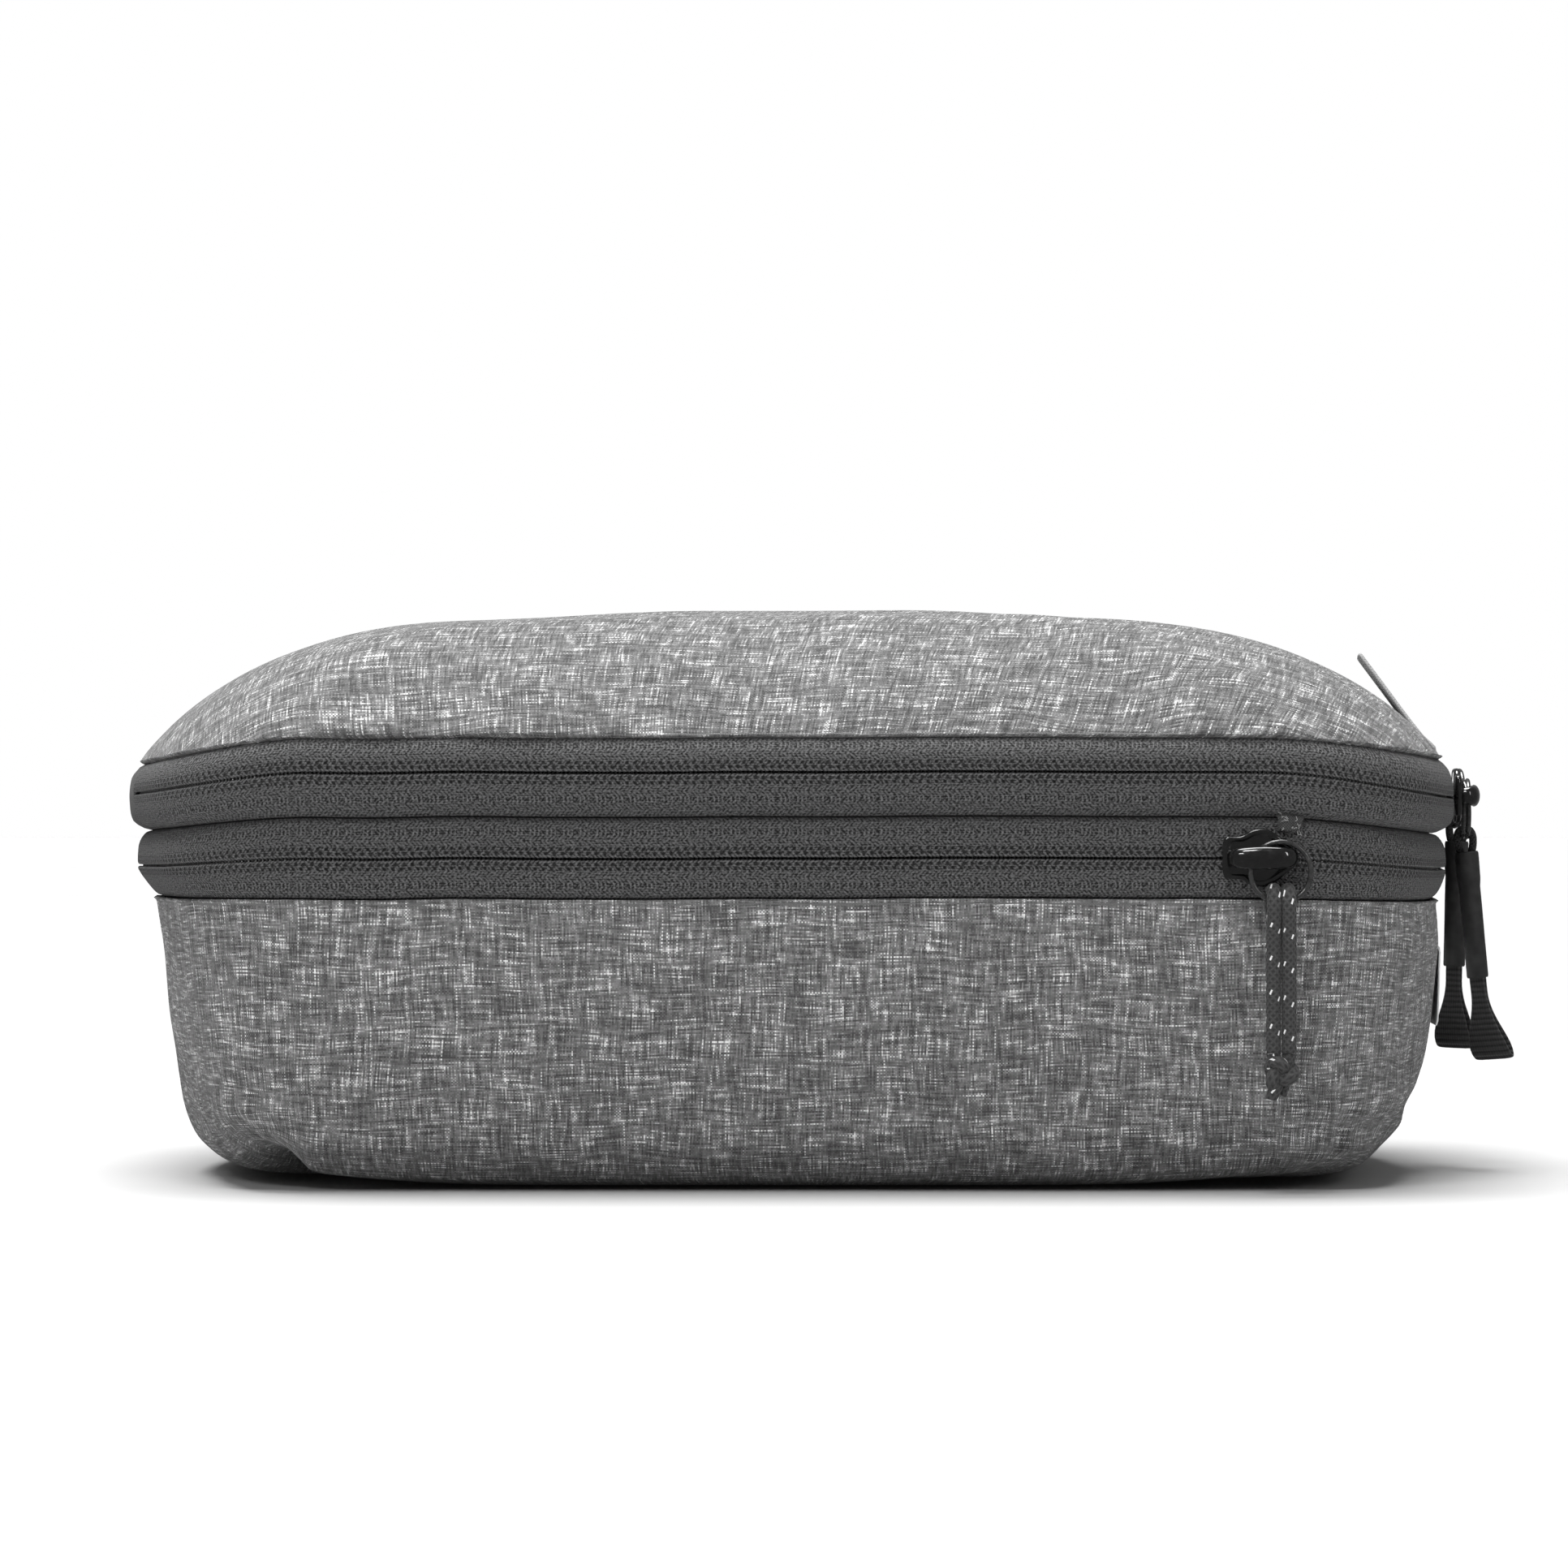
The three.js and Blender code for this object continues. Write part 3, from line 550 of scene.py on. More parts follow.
def heather(name, ground, dark, light):
    """Plain weave of melange yarns: light runs show as thin streaks along both yarns, over a mid grey."""
    s = Shader(name, rough=0.88, specular=0.2)
    u, v = s.cloth()
    # The yarns waver a little, and each one has its own place in the noise.
    waver = s.noise(s.vector(u / 26.0, v / 14.0, 8.0), detail=1.0)
    u = u + waver * 1.6
    v = v - waver * 2.8

    def yarns(across, along, run, seed):
        number = s.math("FLOOR", across / YARN)
        long_runs = s.noise(s.vector(number * 5.37, along / run, seed), detail=1.0)
        short_runs = s.noise(s.vector(number * 3.91, along / (run * 0.22), seed + 9), detail=1.0)
        return (short_runs - 0.5) * 0.4 + long_runs - 0.5

    warp = yarns(u, v, 6.0, 2.0)
    weft = yarns(v, u, 7.5, 31.0)
    crown = s.wave(u, 2 * YARN) * s.wave(v, 2 * YARN)
    # The yarn on top counts for most of the tone, and the one under it shows through.
    over = s.step(crown, -0.6, 0.6, 0.2, 0.8)
    tone = warp + (weft - warp) * over
    cloud = s.noise(s.vector(u / 5.0, v / 6.5, 51.0), detail=3.0, rough=0.6)
    # Between the yarns' crowns the colour is painted a little darker, as shade in the small pits of the
    # weave.
    painted_pit_shade = (1.0 - abs(crown)) * 0.07
    level = tone * 1.6 + (cloud - 0.5) * 0.26 + 0.48 - painted_pit_shade
    stops = [[0.20, dark], [0.37, ground * 0.72], [0.47, ground], [0.58, ground * 1.5], [0.80, light]]
    s.set("Base Color", s.ramp(level, stops))
    s.set("Sheen Weight", 0.1)
    s.set("Sheen Roughness", 0.5)
    fuzz = s.noise(s.vector(u * 3.0, v * 3.0), detail=1.0)
    s.bump(abs(crown) + fuzz * 0.8, 0.09, 0.7)
    return s.material


def zip_tape(name, base):
    """Woven zip tape: u runs along it and v is the distance from the zip's line."""
    s = Shader(name, rough=0.82, specular=0.25)
    u, v = s.cloth()
    half = TOOTH_PITCH / 2

    def hole_row(at, offset, radius):
        du = half - s.from_mark(u + offset, TOOTH_PITCH)
        dv = v - at
        far = s.math("SQRT", du * du + dv * dv)
        return s.step(far, radius * 0.5, radius * 1.35, 1.0, 0.0)

    holes = s.math("MAXIMUM", hole_row(1.0, 0.0, 0.36), hole_row(1.8, 0.5, 0.36))
    # The threads lie in slants that turn about every few rows, like herringbone.
    slant = s.wave(u + s.from_mark(v, 2.2) * 0.9, half)
    rows = s.wave(v, 0.42)
    grain = s.noise(s.vector(u * 1.7, v * 2.6), rough=0.6)
    # Bright slanted threads run right at the line, and a band of paired dashes further out.
    lip = s.step(v, 0.15, 0.75, 1.0, 0.0)
    thread = s.step(s.from_mark(u + v * 1.2, half), 0.18, 0.3)
    band = s.step(abs(v - 4.8), 0.3, 0.45, 1.0, 0.0)
    dash = s.step(s.from_mark(u + 0.2, half), 0.16, 0.28)
    pairs = s.step(s.from_mark(u, 2 * TOOTH_PITCH), 0.35, 0.55)
    weave = slant * 0.42 + rows * 0.22 + (grain - 0.5) * 5.5 + lip * thread * 0.75
    weave = weave + band * dash * pairs * 1.3 - band * 0.45
    # The colour is painted darker at the holes, as the shade inside them; the same mask also sinks them in
    # the bump.
    level = s.math("MAXIMUM", weave + 1.0, 0.12) * (1.0 - holes * 0.85)
    s.set("Base Color", s.tint((base, base, base * 1.01), level))
    s.set("Sheen Weight", 0.1)
    s.bump(weave - holes * 2.2, 0.16, 0.8)
    return s.material


def plain_cloth(name, base, pitch=0.5, contrast=0.3, rough=0.9):
    """Fine woven tape or lining, with its threads and a little unevenness."""
    s = Shader(name, rough=rough, specular=0.2)
    u, v = s.cloth()
    weave = s.wave(u, pitch) * s.wave(v, pitch)
    grain = s.noise(s.vector(u * 1.6, v * 1.6), detail=3.0, rough=0.6)
    level = weave * (contrast * 0.5) + grain * contrast + (1 - contrast / 2)
    s.set("Base Color", s.tint((base,) * 3, level))
    s.set("Sheen Weight", 0.08)
    s.bump(weave, 0.08, 0.6)
    return s.material


def ribbed_webbing(name, base):
    s = Shader(name, rough=0.8, specular=0.3)
    u, v = s.cloth()
    rib = s.wave(u, RIB)
    thread = s.wave(v, 0.5)
    grain = s.noise(s.vector(u * 2.5, v * 2.5), rough=0.6)
    level = rib * 0.35 + grain * 0.7 + thread * 0.12 + 0.6
    s.set("Base Color", s.tint((base,) * 3, level))
    s.set("Sheen Weight", 0.15)
    s.bump(rib + thread * 0.25, 0.12, 0.7)
    return s.material


def braid(name, base, radius, flecks=True):
    """Braided cord: u runs along it and v round it. A light tracer thread shows as slanted dashes."""
    s = Shader(name, rough=0.75, specular=0.3)
    u, v = s.cloth()
    around = TAU * radius
    strand = around / 6
    plait = s.math("MAXIMUM", s.wave(u + v, strand), s.wave(u - v, strand))
    grain = s.noise(s.vector(u * 4.0, v * 4.0))
    colour = s.tint((base,) * 3, plait * 0.3 + grain * 0.7 + 0.55)
    if flecks:
        values = {0: tracer(s, u, v, around), 6: colour, 7: (0.86, 0.86, 0.86, 1)}
        colour = s.node("ShaderNodeMix", values, output=2, data_type="RGBA")
    s.set("Base Color", colour)
    s.set("Sheen Weight", 0.1)
    s.bump(plait, 0.14, 0.8)
    return s.material


def tracer(s, u, v, around, lay=6.1, count=5, long=0.48, wide=0.2, lean=0.42):
    """A mask of short slanted dashes, count of them in each turn of a helix of the given lay."""
    turned = v * (count / around)
    nearest = s.math("ROUND", turned)
    across = (turned - nearest) * (around / count)
    steps = nearest * (1 / count) + u / lay
    along = (steps - s.math("ROUND", steps)) * lay
    a = along * math.cos(lean) + across * math.sin(lean)
    b = across * math.cos(lean) - along * math.sin(lean)
    return s.step(abs(a), long * 0.85, long, 1.0, 0.0) * s.step(abs(b), wide * 0.75, wide, 1.0, 0.0)


def black_metal(name, base):
    """Glossy black plating, a little uneven and worn."""
    s = Shader(name, rough=0.16, specular=0.5)
    place = s.place()
    wear = s.noise(place, 0.9, 3.0, 0.6)
    s.set("Base Color", s.ramp(wear, [[0.35, base * 0.6], [0.6, base], [0.8, base * 2.5]]))
    s.set("Roughness", s.step(wear, 0.3, 0.8, 0.10, 0.24))
    s.set("IOR", 1.5)
    s.set("Coat Weight", 0.8)
    s.set("Coat Roughness", 0.04)
    s.bump(s.noise(place, 1.6), 0.03, 0.25)
    return s.material


def coil_nylon(name):
    s = Shader(name, rough=0.2, specular=0.8)
    place = s.place()
    s.set("Base Color", s.ramp(s.noise(place, 0.8), [[0.3, 0.03], [0.7, 0.07]]))
    s.set("Coat Weight", 0.8)
    s.set("Coat Roughness", 0.1)
    s.bump(s.noise(place, 5.0), 0.03, 0.4)
    return s.material


def shrink_rubber(name):
    s = Shader(name, rough=0.5, specular=0.4)
    place = s.place()
    s.set("Base Color", s.ramp(s.noise(place, 0.5, 3.0), [[0.3, 0.022], [0.7, 0.04]]))
    s.set("Roughness", s.step(s.noise(place, 2.0), 0.3, 0.7, 0.42, 0.6))
    s.bump(s.noise(place, 3.0, 3.0), 0.06, 0.5)
    return s.material


def floor_paper(name):
    s = Shader(name, rough=0.95, specular=0.0)
    s.set("Base Color", s.ramp(s.noise(s.place(), 0.02), [[0.2, 0.60], [0.8, 0.62]]))
    return s.material


CORD_RADIUS = 1.25
CORD_SWELL = 1.09  # the braid's fuzz makes the two strands touch
LOOP_RADIUS = 0.75

HEATHER = heather("heather_cloth", 0.195, 0.07, 0.92)
LINING = plain_cloth("inner_lining", 0.16, 0.5)
GUSSET_CLOTH = plain_cloth("gusset_cloth", 0.13, 0.45)
BINDING_CLOTH = plain_cloth("binding_tape", 0.05, 0.7)
TAPE_END_CLOTH = plain_cloth("tape_end_cloth", 0.06, 0.5, 0.9)
THREAD = plain_cloth("frayed_thread", 0.42, 0.3, 0.4)
HINGE_CLOTH = plain_cloth("hinge_cloth_weave", 0.07, 0.5, 0.5)
TAB_CLOTH = plain_cloth("tab_ribbon", 0.42, 0.6)
LABEL_CLOTH = plain_cloth("label_tape", 0.94, 0.4, 0.05)
TAPE = zip_tape("zip_tape_weave", 0.078)
COIL = coil_nylon("coil_nylon")
METAL = black_metal("black_plated_metal", 0.007)
# The ring's metal has a lighter base than the slider's: a painted sheen for the grey highlights along its
# wire, over the same random wear.
RING_METAL = black_metal("ring_metal_wear_and_painted_sheen", 0.04)
WEBBING = ribbed_webbing("ribbed_webbing", 0.035)
PULL_BRAID = braid("pull_cord_braid", 0.052, CORD_RADIUS)
LOOP_BRAID = braid("loop_cord_braid", 0.03, LOOP_RADIUS, flecks=False)
SLEEVE_RUBBER = shrink_rubber("shrink_sleeve_rubber")

# ---------------------------------------------------------------- camera

CAMERA_SIDE = -1.4
CAMERA_DISTANCE = 1200.0
CAMERA_HEIGHT = 74.0
SENSOR = 36.0
LENS = 142.4


def make_camera():
    data = bpy.data.cameras.new("camera")
    data.lens = LENS
    data.sensor_width = SENSOR
    data.clip_start = 0.02
    camera = bpy.data.objects.new("camera", data)
    camera.location = Vector((CAMERA_SIDE, -CAMERA_DISTANCE, CAMERA_HEIGHT)) * MM
    camera.rotation_euler = (math.radians(90), 0, 0)
    bpy.context.scene.collection.objects.link(camera)
    bpy.context.scene.camera = camera


make_camera()

# ---------------------------------------------------------------- where the zips' hardware is

PLATE_LIFT = 0.4  # the outer plate stands off the tape
PLATE = 1.4  # its thickness
RING_LIFT = 1.0  # the ring stands off the plate
RING_PLANE = PLATE_LIFT + PLATE + RING_LIFT
RING_ALONG = 3.7  # the ring's middle, from the slider's towards its nose
RING_DROP = 2.5  # and below it
REAR_RING_DROP = 0.6
RING_RADIUS = 5.4
WIRE = 0.46  # the ring wire's radius
COMPRESSION_SLIDER_X = 83.8
MAIN_SLIDER_Y = 10.5  # of both main sliders, either side of the middle


def slider_at(place, along, out, drop, angle):
    """A slider's place and directions: along to its nose, and out from the tape."""
    up = np.array([0, 0, 1.0])
    ring = place + along * RING_ALONG + out * RING_PLANE - up * drop
    return {"place": place, "along": along, "up": up, "out": out, "ring": ring, "angle": angle}


def main_slider(side, drop):
    """A main slider on the bulging end. Its nose points to the middle of the end."""
    reach = END_RADIUS - SKIN_MARGIN
    angle = side * math.asin(MAIN_SLIDER_Y / reach)
    out = np.array([math.cos(angle), math.sin(angle), 0.0])
    nose = np.array([-out[1], out[0], 0.0]) * -side
    place = out * reach + [END_CENTRE, 0, MAIN_LINE * (1 - DROP_SHARE)]
    return slider_at(place, nose, out, drop, angle)


FRONT_FACE = -node_box("compression_zip_upper_tape")[1][1]
SLIDERS = {
    "compression": slider_at(
        np.array([COMPRESSION_SLIDER_X, FRONT_FACE, COMPRESSION_LINE]),
        np.array([1.0, 0, 0]), np.array([0, -1.0, 0]), RING_DROP, 0.0,
    ),
    "main_front": main_slider(-1, RING_DROP),
    "main_rear": main_slider(1, REAR_RING_DROP),
}

# ---------------------------------------------------------------- cords

# Routes start from the middle of their ring's lower wire. The doubled cord hangs in front of it, turns over
# it and is joined behind it, so half of each route is given and the other half mirrors it.
CORD_LENGTH = 27.0  # down to the knot
STRAND_APART = 1.4  # each strand from the middle
STRAND_Y = -1.3  # both strands hang this far in front of the ring
CORD_WRAP = 2.05  # cord centreline from the ring wire's centre
CORD_HALF = [
    [STRAND_APART, STRAND_Y, -CORD_LENGTH],
    [STRAND_APART, STRAND_Y, -CORD_LENGTH * 0.66],
    [STRAND_APART, STRAND_Y - 0.05, -CORD_LENGTH * 0.36],
    [1.36, -1.6, -5],
    [1.32, -CORD_WRAP, -2],
    [1.3, -CORD_WRAP, -0.1],
    [1.3, -1.45, 1.5],
    [1.3, 0, CORD_WRAP + 0.1],
    [1.3, 1.45, 1.5],
    [1.33, CORD_WRAP, -0.1],
    [1.32, CORD_WRAP + 0.15, -1.6],
    [0.85, CORD_WRAP + 0.25, -2.7],
]
CORD_ROUTE = [[-x, y, z] for x, y, z in CORD_HALF] + [[0, CORD_WRAP + 0.25, -3.1]] + CORD_HALF[::-1]
KNOT_HEIGHT = 7.4


def compression_pull():
    """The doubled cord through the compression slider's ring, and its knot with two short tails."""
    ring = SLIDERS["compression"]["ring"]
    origin = ring + [0, 0, -RING_RADIUS]
    line = spline(np.array(CORD_ROUTE) + origin, 120)
    cord = tube_object("pull_cord", line, CORD_RADIUS * CORD_SWELL, "compression_pull", PULL_BRAID, 14)
    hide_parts("compression_pull_cord")
    middle = origin + [0, STRAND_Y, -CORD_LENGTH - 0.3 - KNOT_HEIGHT / 2]
    turn = np.linspace(0, TAU, 100, endpoint=False)
    trefoil = np.stack([
        np.sin(turn) + 2 * np.sin(2 * turn),
        -0.9 * np.sin(3 * turn),
        np.cos(turn) - 2 * np.cos(2 * turn),
    ], 1)
    lean = np.array(Matrix.Rotation(math.radians(24), 3, "Y"))
    trefoil = (trefoil * [0.74, 1.2, 0.80]) @ lean.T + middle + [-0.2, 0, 0.3]
    pieces = [tube_mesh(trefoil, 1.25, 12, closed=True)]
    tail = [[-0.5, 0, -0.5], [-1.0, -0.3, -2.0], [-1.5, -0.3, -3.3], [-1.7, -0.2, -4.2]]
    pieces.append(tube_mesh(spline(np.array(tail) + middle, 14), 1.2, 12))
    tail = [[0.6, 0.4, -0.5], [0.5, 0.9, -1.6], [0.2, 1.0, -2.6], [-0.2, 0.9, -3.4]]
    pieces.append(tube_mesh(spline(np.array(tail) + middle, 14), 1.15, 12))
    for side in (-1, 1):
        neck = [[side * STRAND_APART, 0, KNOT_HEIGHT / 2 + 0.3], [side * 1.15, 0, 2.4], [side * 0.8, 0, 0.8]]
        pieces.append(tube_mesh(spline(np.array(neck) + middle, 10), 1.22, 12))
    points, faces, corners = joined(pieces)
    knot = new_object("pull_knot", points, faces, "compression_pull", corners, [PULL_BRAID])
    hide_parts("compression_pull_knot")


LOOP_WRAP = 1.5  # cord centreline from the ring wire's centre
LOOP_INSIDE = 0.88  # each strand from the sleeve's middle
LOOP_DEPTH = 19.0  # how far the strands run down
LOOP_SIDE = [
    [LOOP_INSIDE, 0, -LOOP_DEPTH],
    [LOOP_INSIDE, 0, -LOOP_DEPTH / 2],
    [LOOP_INSIDE, 0, -4],
    [LOOP_WRAP * 0.9, 0, -1.9],
    [LOOP_WRAP, 0, -0.1],
    [LOOP_WRAP * 0.7, 0, LOOP_WRAP * 0.75],
]
SLEEVE = {"top": -2.9, "bottom": -27.2, "outer": 2.35, "lower": 2.1, "step": -8.6}
WEB = {"thickness": 0.8, "neck": 3.0, "width": 8.0, "length": 15.6, "spread": 1.9}


def leaned(points, slider, degrees):
    """Points of a pull, leaned outwards, turned with its slider and moved to where it hangs."""
    lean = Matrix.Rotation(math.radians(-degrees), 3, "Y")
    turn = Matrix.Rotation(slider["angle"], 3, "Z")
    origin = slider["ring"] + [0, 0, -RING_RADIUS]
    return np.asarray(points, float) @ np.array(turn @ lean).T + origin


def sleeve_rows():
    """The heat-shrink sleeve: a turned profile, stepped in below, a little out of round."""
    top, step, bottom, outer, lower = (SLEEVE[key] for key in ("top", "step", "bottom", "outer", "lower"))
    profile = [
        [1.55, bottom + 0.8], [1.6, bottom + 0.1], [lower - 0.12, bottom], [lower, bottom + 0.35],
        [lower + 0.02, -20], [lower + 0.06, -14], [lower + 0.02, step - 1.2], [outer - 0.05, step + 0.4],
        [outer, -6], [outer, top - 0.4], [outer - 0.15, top], [1.85, top - 0.05], [1.75, top - 0.8],
    ]
    sides = 28
    turn = np.arange(sides) * TAU / sides
    rows, coords = [], []
    for r, z in profile:
        bulge = 1 + 0.03 * np.sin(2 * turn + z * 0.1)
        rows.append(np.stack([r * bulge * np.cos(turn), r * bulge * np.sin(turn), np.full(sides, z)], 1))
        coords.append([(i * r * TAU / sides, z, 0) for i in range(sides + 1)])
    return np.array(rows), np.array(coords)


def webbing_rows(twist, shift):
    """A loop of webbing, folded at its foot, that turns about Z by twist degrees below the sleeve."""
    thickness, neck, width = WEB["thickness"], WEB["neck"], WEB["width"]
    t = np.linspace(0, 1, 110)
    down = np.sin(math.pi * t)
    z = SLEEVE["bottom"] + 1.2 - (WEB["length"] + 1.5 - thickness / 2) * down ** 0.82
    x = -np.sin(TAU * t) * WEB["spread"] * 0.5 * smooth(down * 1.3 - 0.2) + (t - 0.5)
    half = (neck + (width - neck) * smooth(down * 1.3 - 0.22)) / 2
    line = np.stack([x, z], 1)
    way = directions(line)
    normal = np.stack([-way[:, 1], way[:, 0]], 1)
    along = distances(line)
    # The section is a flat bar with round edges.
    section = []
    for angle in np.arange(24) * TAU / 24:
        wide, deep = math.cos(angle), math.sin(angle)
        section.append((math.copysign(abs(wide) ** 0.35, wide), math.copysign(abs(deep) ** 0.8, deep)))
    turn = np.array(Matrix.Rotation(math.radians(twist), 3, "Z")).T
    rows, coords = [], []
    for k in range(len(t)):
        thick = thickness / 2 * (1 + 0.12 * math.sin(TAU * along[k] / RIB))
        cup = 0.5 * math.sin(math.pi * t[k]) ** 3
        row = np.array([
            [x[k] + normal[k, 0] * b * thick + cup * a * a, a * half[k], z[k] + normal[k, 1] * b * thick]
            for a, b in section
        ])
        rows.append(row @ turn + [shift * down[k] ** 2, 0, 0])
        coords.append([(along[k], a * half[k], 0) for a, b in section + section[:1]])
    return np.array(rows), np.array(coords)


def capped(rows, coords):
    """A tube of rows with its two ends closed and its faces turned outwards."""
    points, faces, corners = grid(rows, coords)
    inside_out = not faces_out(points, faces, points.mean(0))
    if inside_out:
        points, faces, corners = grid(rows, coords, flip=True)
    faces, corners = list(map(list, faces)), list(map(tuple, corners))
    count = len(rows[0])
    first = list(range(count))
    last = [(len(rows) - 1) * count + i for i in first]
    faces += [first, last[::-1]] if inside_out else [first[::-1], last]
    corners += [tuple(coords[0][0])] * count + [tuple(coords[len(rows) - 1][0])] * count
    return points, faces, corners


def main_pull(prefix, degrees, twist, shift):
    """One main zip pull: a cord loop on the ring, a heat-shrink sleeve over it and a webbing loop below."""
    body = prefix + "_pull"
    slider = SLIDERS[prefix]
    left = [[-x, y, z] for x, y, z in LOOP_SIDE]
    route = left + [[0, 0, LOOP_WRAP]] + LOOP_SIDE[::-1]
    line = leaned(spline(route, 90), slider, degrees)
    cord = tube_object(prefix + "_loop_cord", line, LOOP_RADIUS, body, LOOP_BRAID, 12)
    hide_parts(body + "_loop")
    rows, coords = sleeve_rows()
    rows = leaned(rows, slider, degrees)
    sleeve = sheet_object(prefix + "_shrink_sleeve", rows, coords, body, [SLEEVE_RUBBER],
                          centre=rows.reshape(-1, 3).mean(0))
    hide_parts(body + "_sleeve")
    rows, coords = webbing_rows(twist, shift)
    points, faces, corners = capped(leaned(rows, slider, degrees), coords)
    web = new_object(prefix + "_webbing_loop", points, faces, body, corners, [WEBBING])
    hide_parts(body + "_webbing")
    tuple(line[0] * MM)
    [tuple(p * MM) for p in line]


compression_pull()
main_pull("main_front", 5.2, 62, 1.6)
main_pull("main_rear", -1.2, 50, 0.3)

# ---------------------------------------------------------------- sliders and rings

PLATE_EDGE = [  # half the slider's outline, as [along, across]
    [-6.65, 3.85], [-4.4, 3.8], [-3.1, 3.95], [-1.4, 5.0], [-0.1, 5.3], [1.5, 5.15], [3.2, 4.2], [5.0, 2.7],
    [6.65, 1.5],
]
BAIL_ARCH = [  # [along, out]
    [-4.2, 1.5], [-4.5, 2.6], [-3.9, 3.7], [-2.2, 4.2], [0.8, 4.3], [3.6, 4.2], [5.3, 3.6], [5.9, 2.6],
    [5.8, 1.5],
]
INNER_PLATE = -3.7  # the inner plate's near face, behind the tapes and the coil
POST = [1.5, 0.2]  # half its length and half its width
SPLIT_AT = 2.4  # radians round the ring


def rounded_loop(points, rounds, count):
    """A closed outline through points with its corners cut round, evenly stepped."""
    p = np.asarray(points, float)
    for _ in range(rounds):
        after = np.roll(p, -1, 0)
        p = np.stack([p * 0.8 + after * 0.2, p * 0.2 + after * 0.8], 1).reshape(-1, 2)
    closed = np.vstack([p, p[:1]])
    flat = np.column_stack([closed, np.zeros(len(closed))])
    return evenly(flat, count + 1)[:-1, :2]


def placed(slider, points):
    """Points given as (along, up, out) of a slider, in the cube's own frame."""
    p = np.asarray(points, float)
    along, up, out = p[..., :1], p[..., 1:2], p[..., 2:]
    return slider["place"] + along * slider["along"] + up * slider["up"] + out * slider["out"]


def plate_rows(bottom, top, soft=0.3, crown=0.25):
    """A flat plate with rounded edges, as loops of (along, up, out)."""
    fine = rounded_loop(PLATE_EDGE + [[a, -w] for a, w in PLATE_EDGE[::-1]], 2, 140)
    centre = fine.mean(0)
    middle = (bottom + top) / 2
    sections = [
        (4.99, bottom), (soft, bottom), (0.08, bottom + soft * 0.4), (0, middle), (0.08, top - soft * 0.4),
        (soft, top), (soft + 0.55, top), (soft + 0.7, top - 0.12), (1.5, top - 0.12),
        (2.4, top + crown * 0.5), (4.99, top + crown),
    ]
    rows = []
    for inwards, z in sections:
        ring = centre + (fine - centre) * (1 - inwards / 5.0)
        rows.append(np.stack([ring[:, 0], ring[:, 1], np.full(len(ring), z)], 1))
    return np.array(rows)


def domed_bar(points, half_width, inner, outer, sides=22):
    """A bar along a line in the (along, out) plane: domed outside, flatter inside, fuller in its middle."""
    line = spline([[a, 0, o] for a, o in points], 48)
    way = directions(line)
    rows, coords = [], []
    for k, centre in enumerate(line):
        normal = np.array([-way[k, 2], 0, way[k, 0]])
        full = math.sin(math.pi * k / (len(line) - 1)) ** 0.7
        width = half_width * (0.62 + 0.38 * full)
        row = []
        for a in np.arange(sides) * TAU / sides:
            height = (outer if math.sin(a) > 0 else inner) * math.sin(a)
            row.append(centre + np.array([0, 1, 0]) * math.cos(a) * width + normal * height)
        rows.append(row)
        coords.append([(k, i, 0) for i in range(sides + 1)])
    return np.array(rows), np.array(coords)


def no_pattern(rows):
    """Pattern coordinates for metal, whose finish doesn't use them."""
    return np.zeros((len(rows) + 1, len(rows[0]) + 1, 3))


def slider_plates(prefix, slider):
    """The slider's two plates and the post between them."""
    pieces = []
    outer_top = PLATE_LIFT + PLATE - 0.2
    for bottom, top, crown in ((PLATE_LIFT, outer_top, 0.25), (INNER_PLATE - 1.0, INNER_PLATE, 0.0)):
        rows = placed(slider, plate_rows(bottom, top, 0.35, crown))
        pieces.append(capped(rows, no_pattern(rows)))
    square = np.array([(-1, -1), (1, -1), (1, 1), (-1, 1)]) * POST
    ends = [np.column_stack([square, np.full(4, z)]) for z in (INNER_PLATE - 0.4, PLATE_LIFT + 0.4)]
    post = placed(slider, ends)
    pieces.append(capped(post, no_pattern(post)))
    points, faces, corners = joined(pieces)
    body = new_object(prefix + "_slider_plates", points, faces, prefix + "_slider", corners, [METAL])
    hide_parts(prefix + "_slider")


def crown_bail(prefix, slider):
    """The arched bar that holds the ring on the slider."""
    rows, coords = domed_bar(BAIL_ARCH, 2.1, 0.45, 1.1)
    points, faces, corners = capped(placed(slider, rows), coords)
    bail = new_object(prefix + "_crown_bail", points, faces, prefix + "_slider", corners, [METAL])
    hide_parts(prefix + "_bail")


def split_ring(prefix, slider):
    """Two turns of wire, one on the other, that cross over in a short step."""
    turn = np.linspace(0, 2 * TAU, 150)
    rise = (smooth((turn / TAU - 0.85) / 0.3) - 0.5) * 2 * WIRE
    at = turn + SPLIT_AT
    circle = np.stack([RING_RADIUS * np.cos(at), RING_RADIUS * np.sin(at), rise], 1)
    line = placed(slider, circle) - slider["place"] + slider["ring"]
    ring = tube_object(prefix + "_split_ring", line, WIRE, prefix + "_ring", RING_METAL)
    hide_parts(prefix + "_ring")


for prefix, slider in SLIDERS.items():
    slider_plates(prefix, slider)
    crown_bail(prefix, slider)
    split_ring(prefix, slider)

# ---------------------------------------------------------------- tub and lid cloth

CLOTH = 0.6  # thickness drawn
RIM_INSET = 2.6  # of the tub's rim from the widest outline
LID_INSET = 2.4  # and of the lid's seam


def corner_distance(u):
    """Distance along the outline from the middle of the nearest corner."""
    middles = [STRETCH_ENDS[k] - QUARTER / 2 for k in (1, 3, 5, 7)]
    gaps = np.array([(u - m + ROUND / 2) % ROUND - ROUND / 2 for m in middles])
    return gaps[np.abs(gaps).argmin(0), np.arange(len(u))]


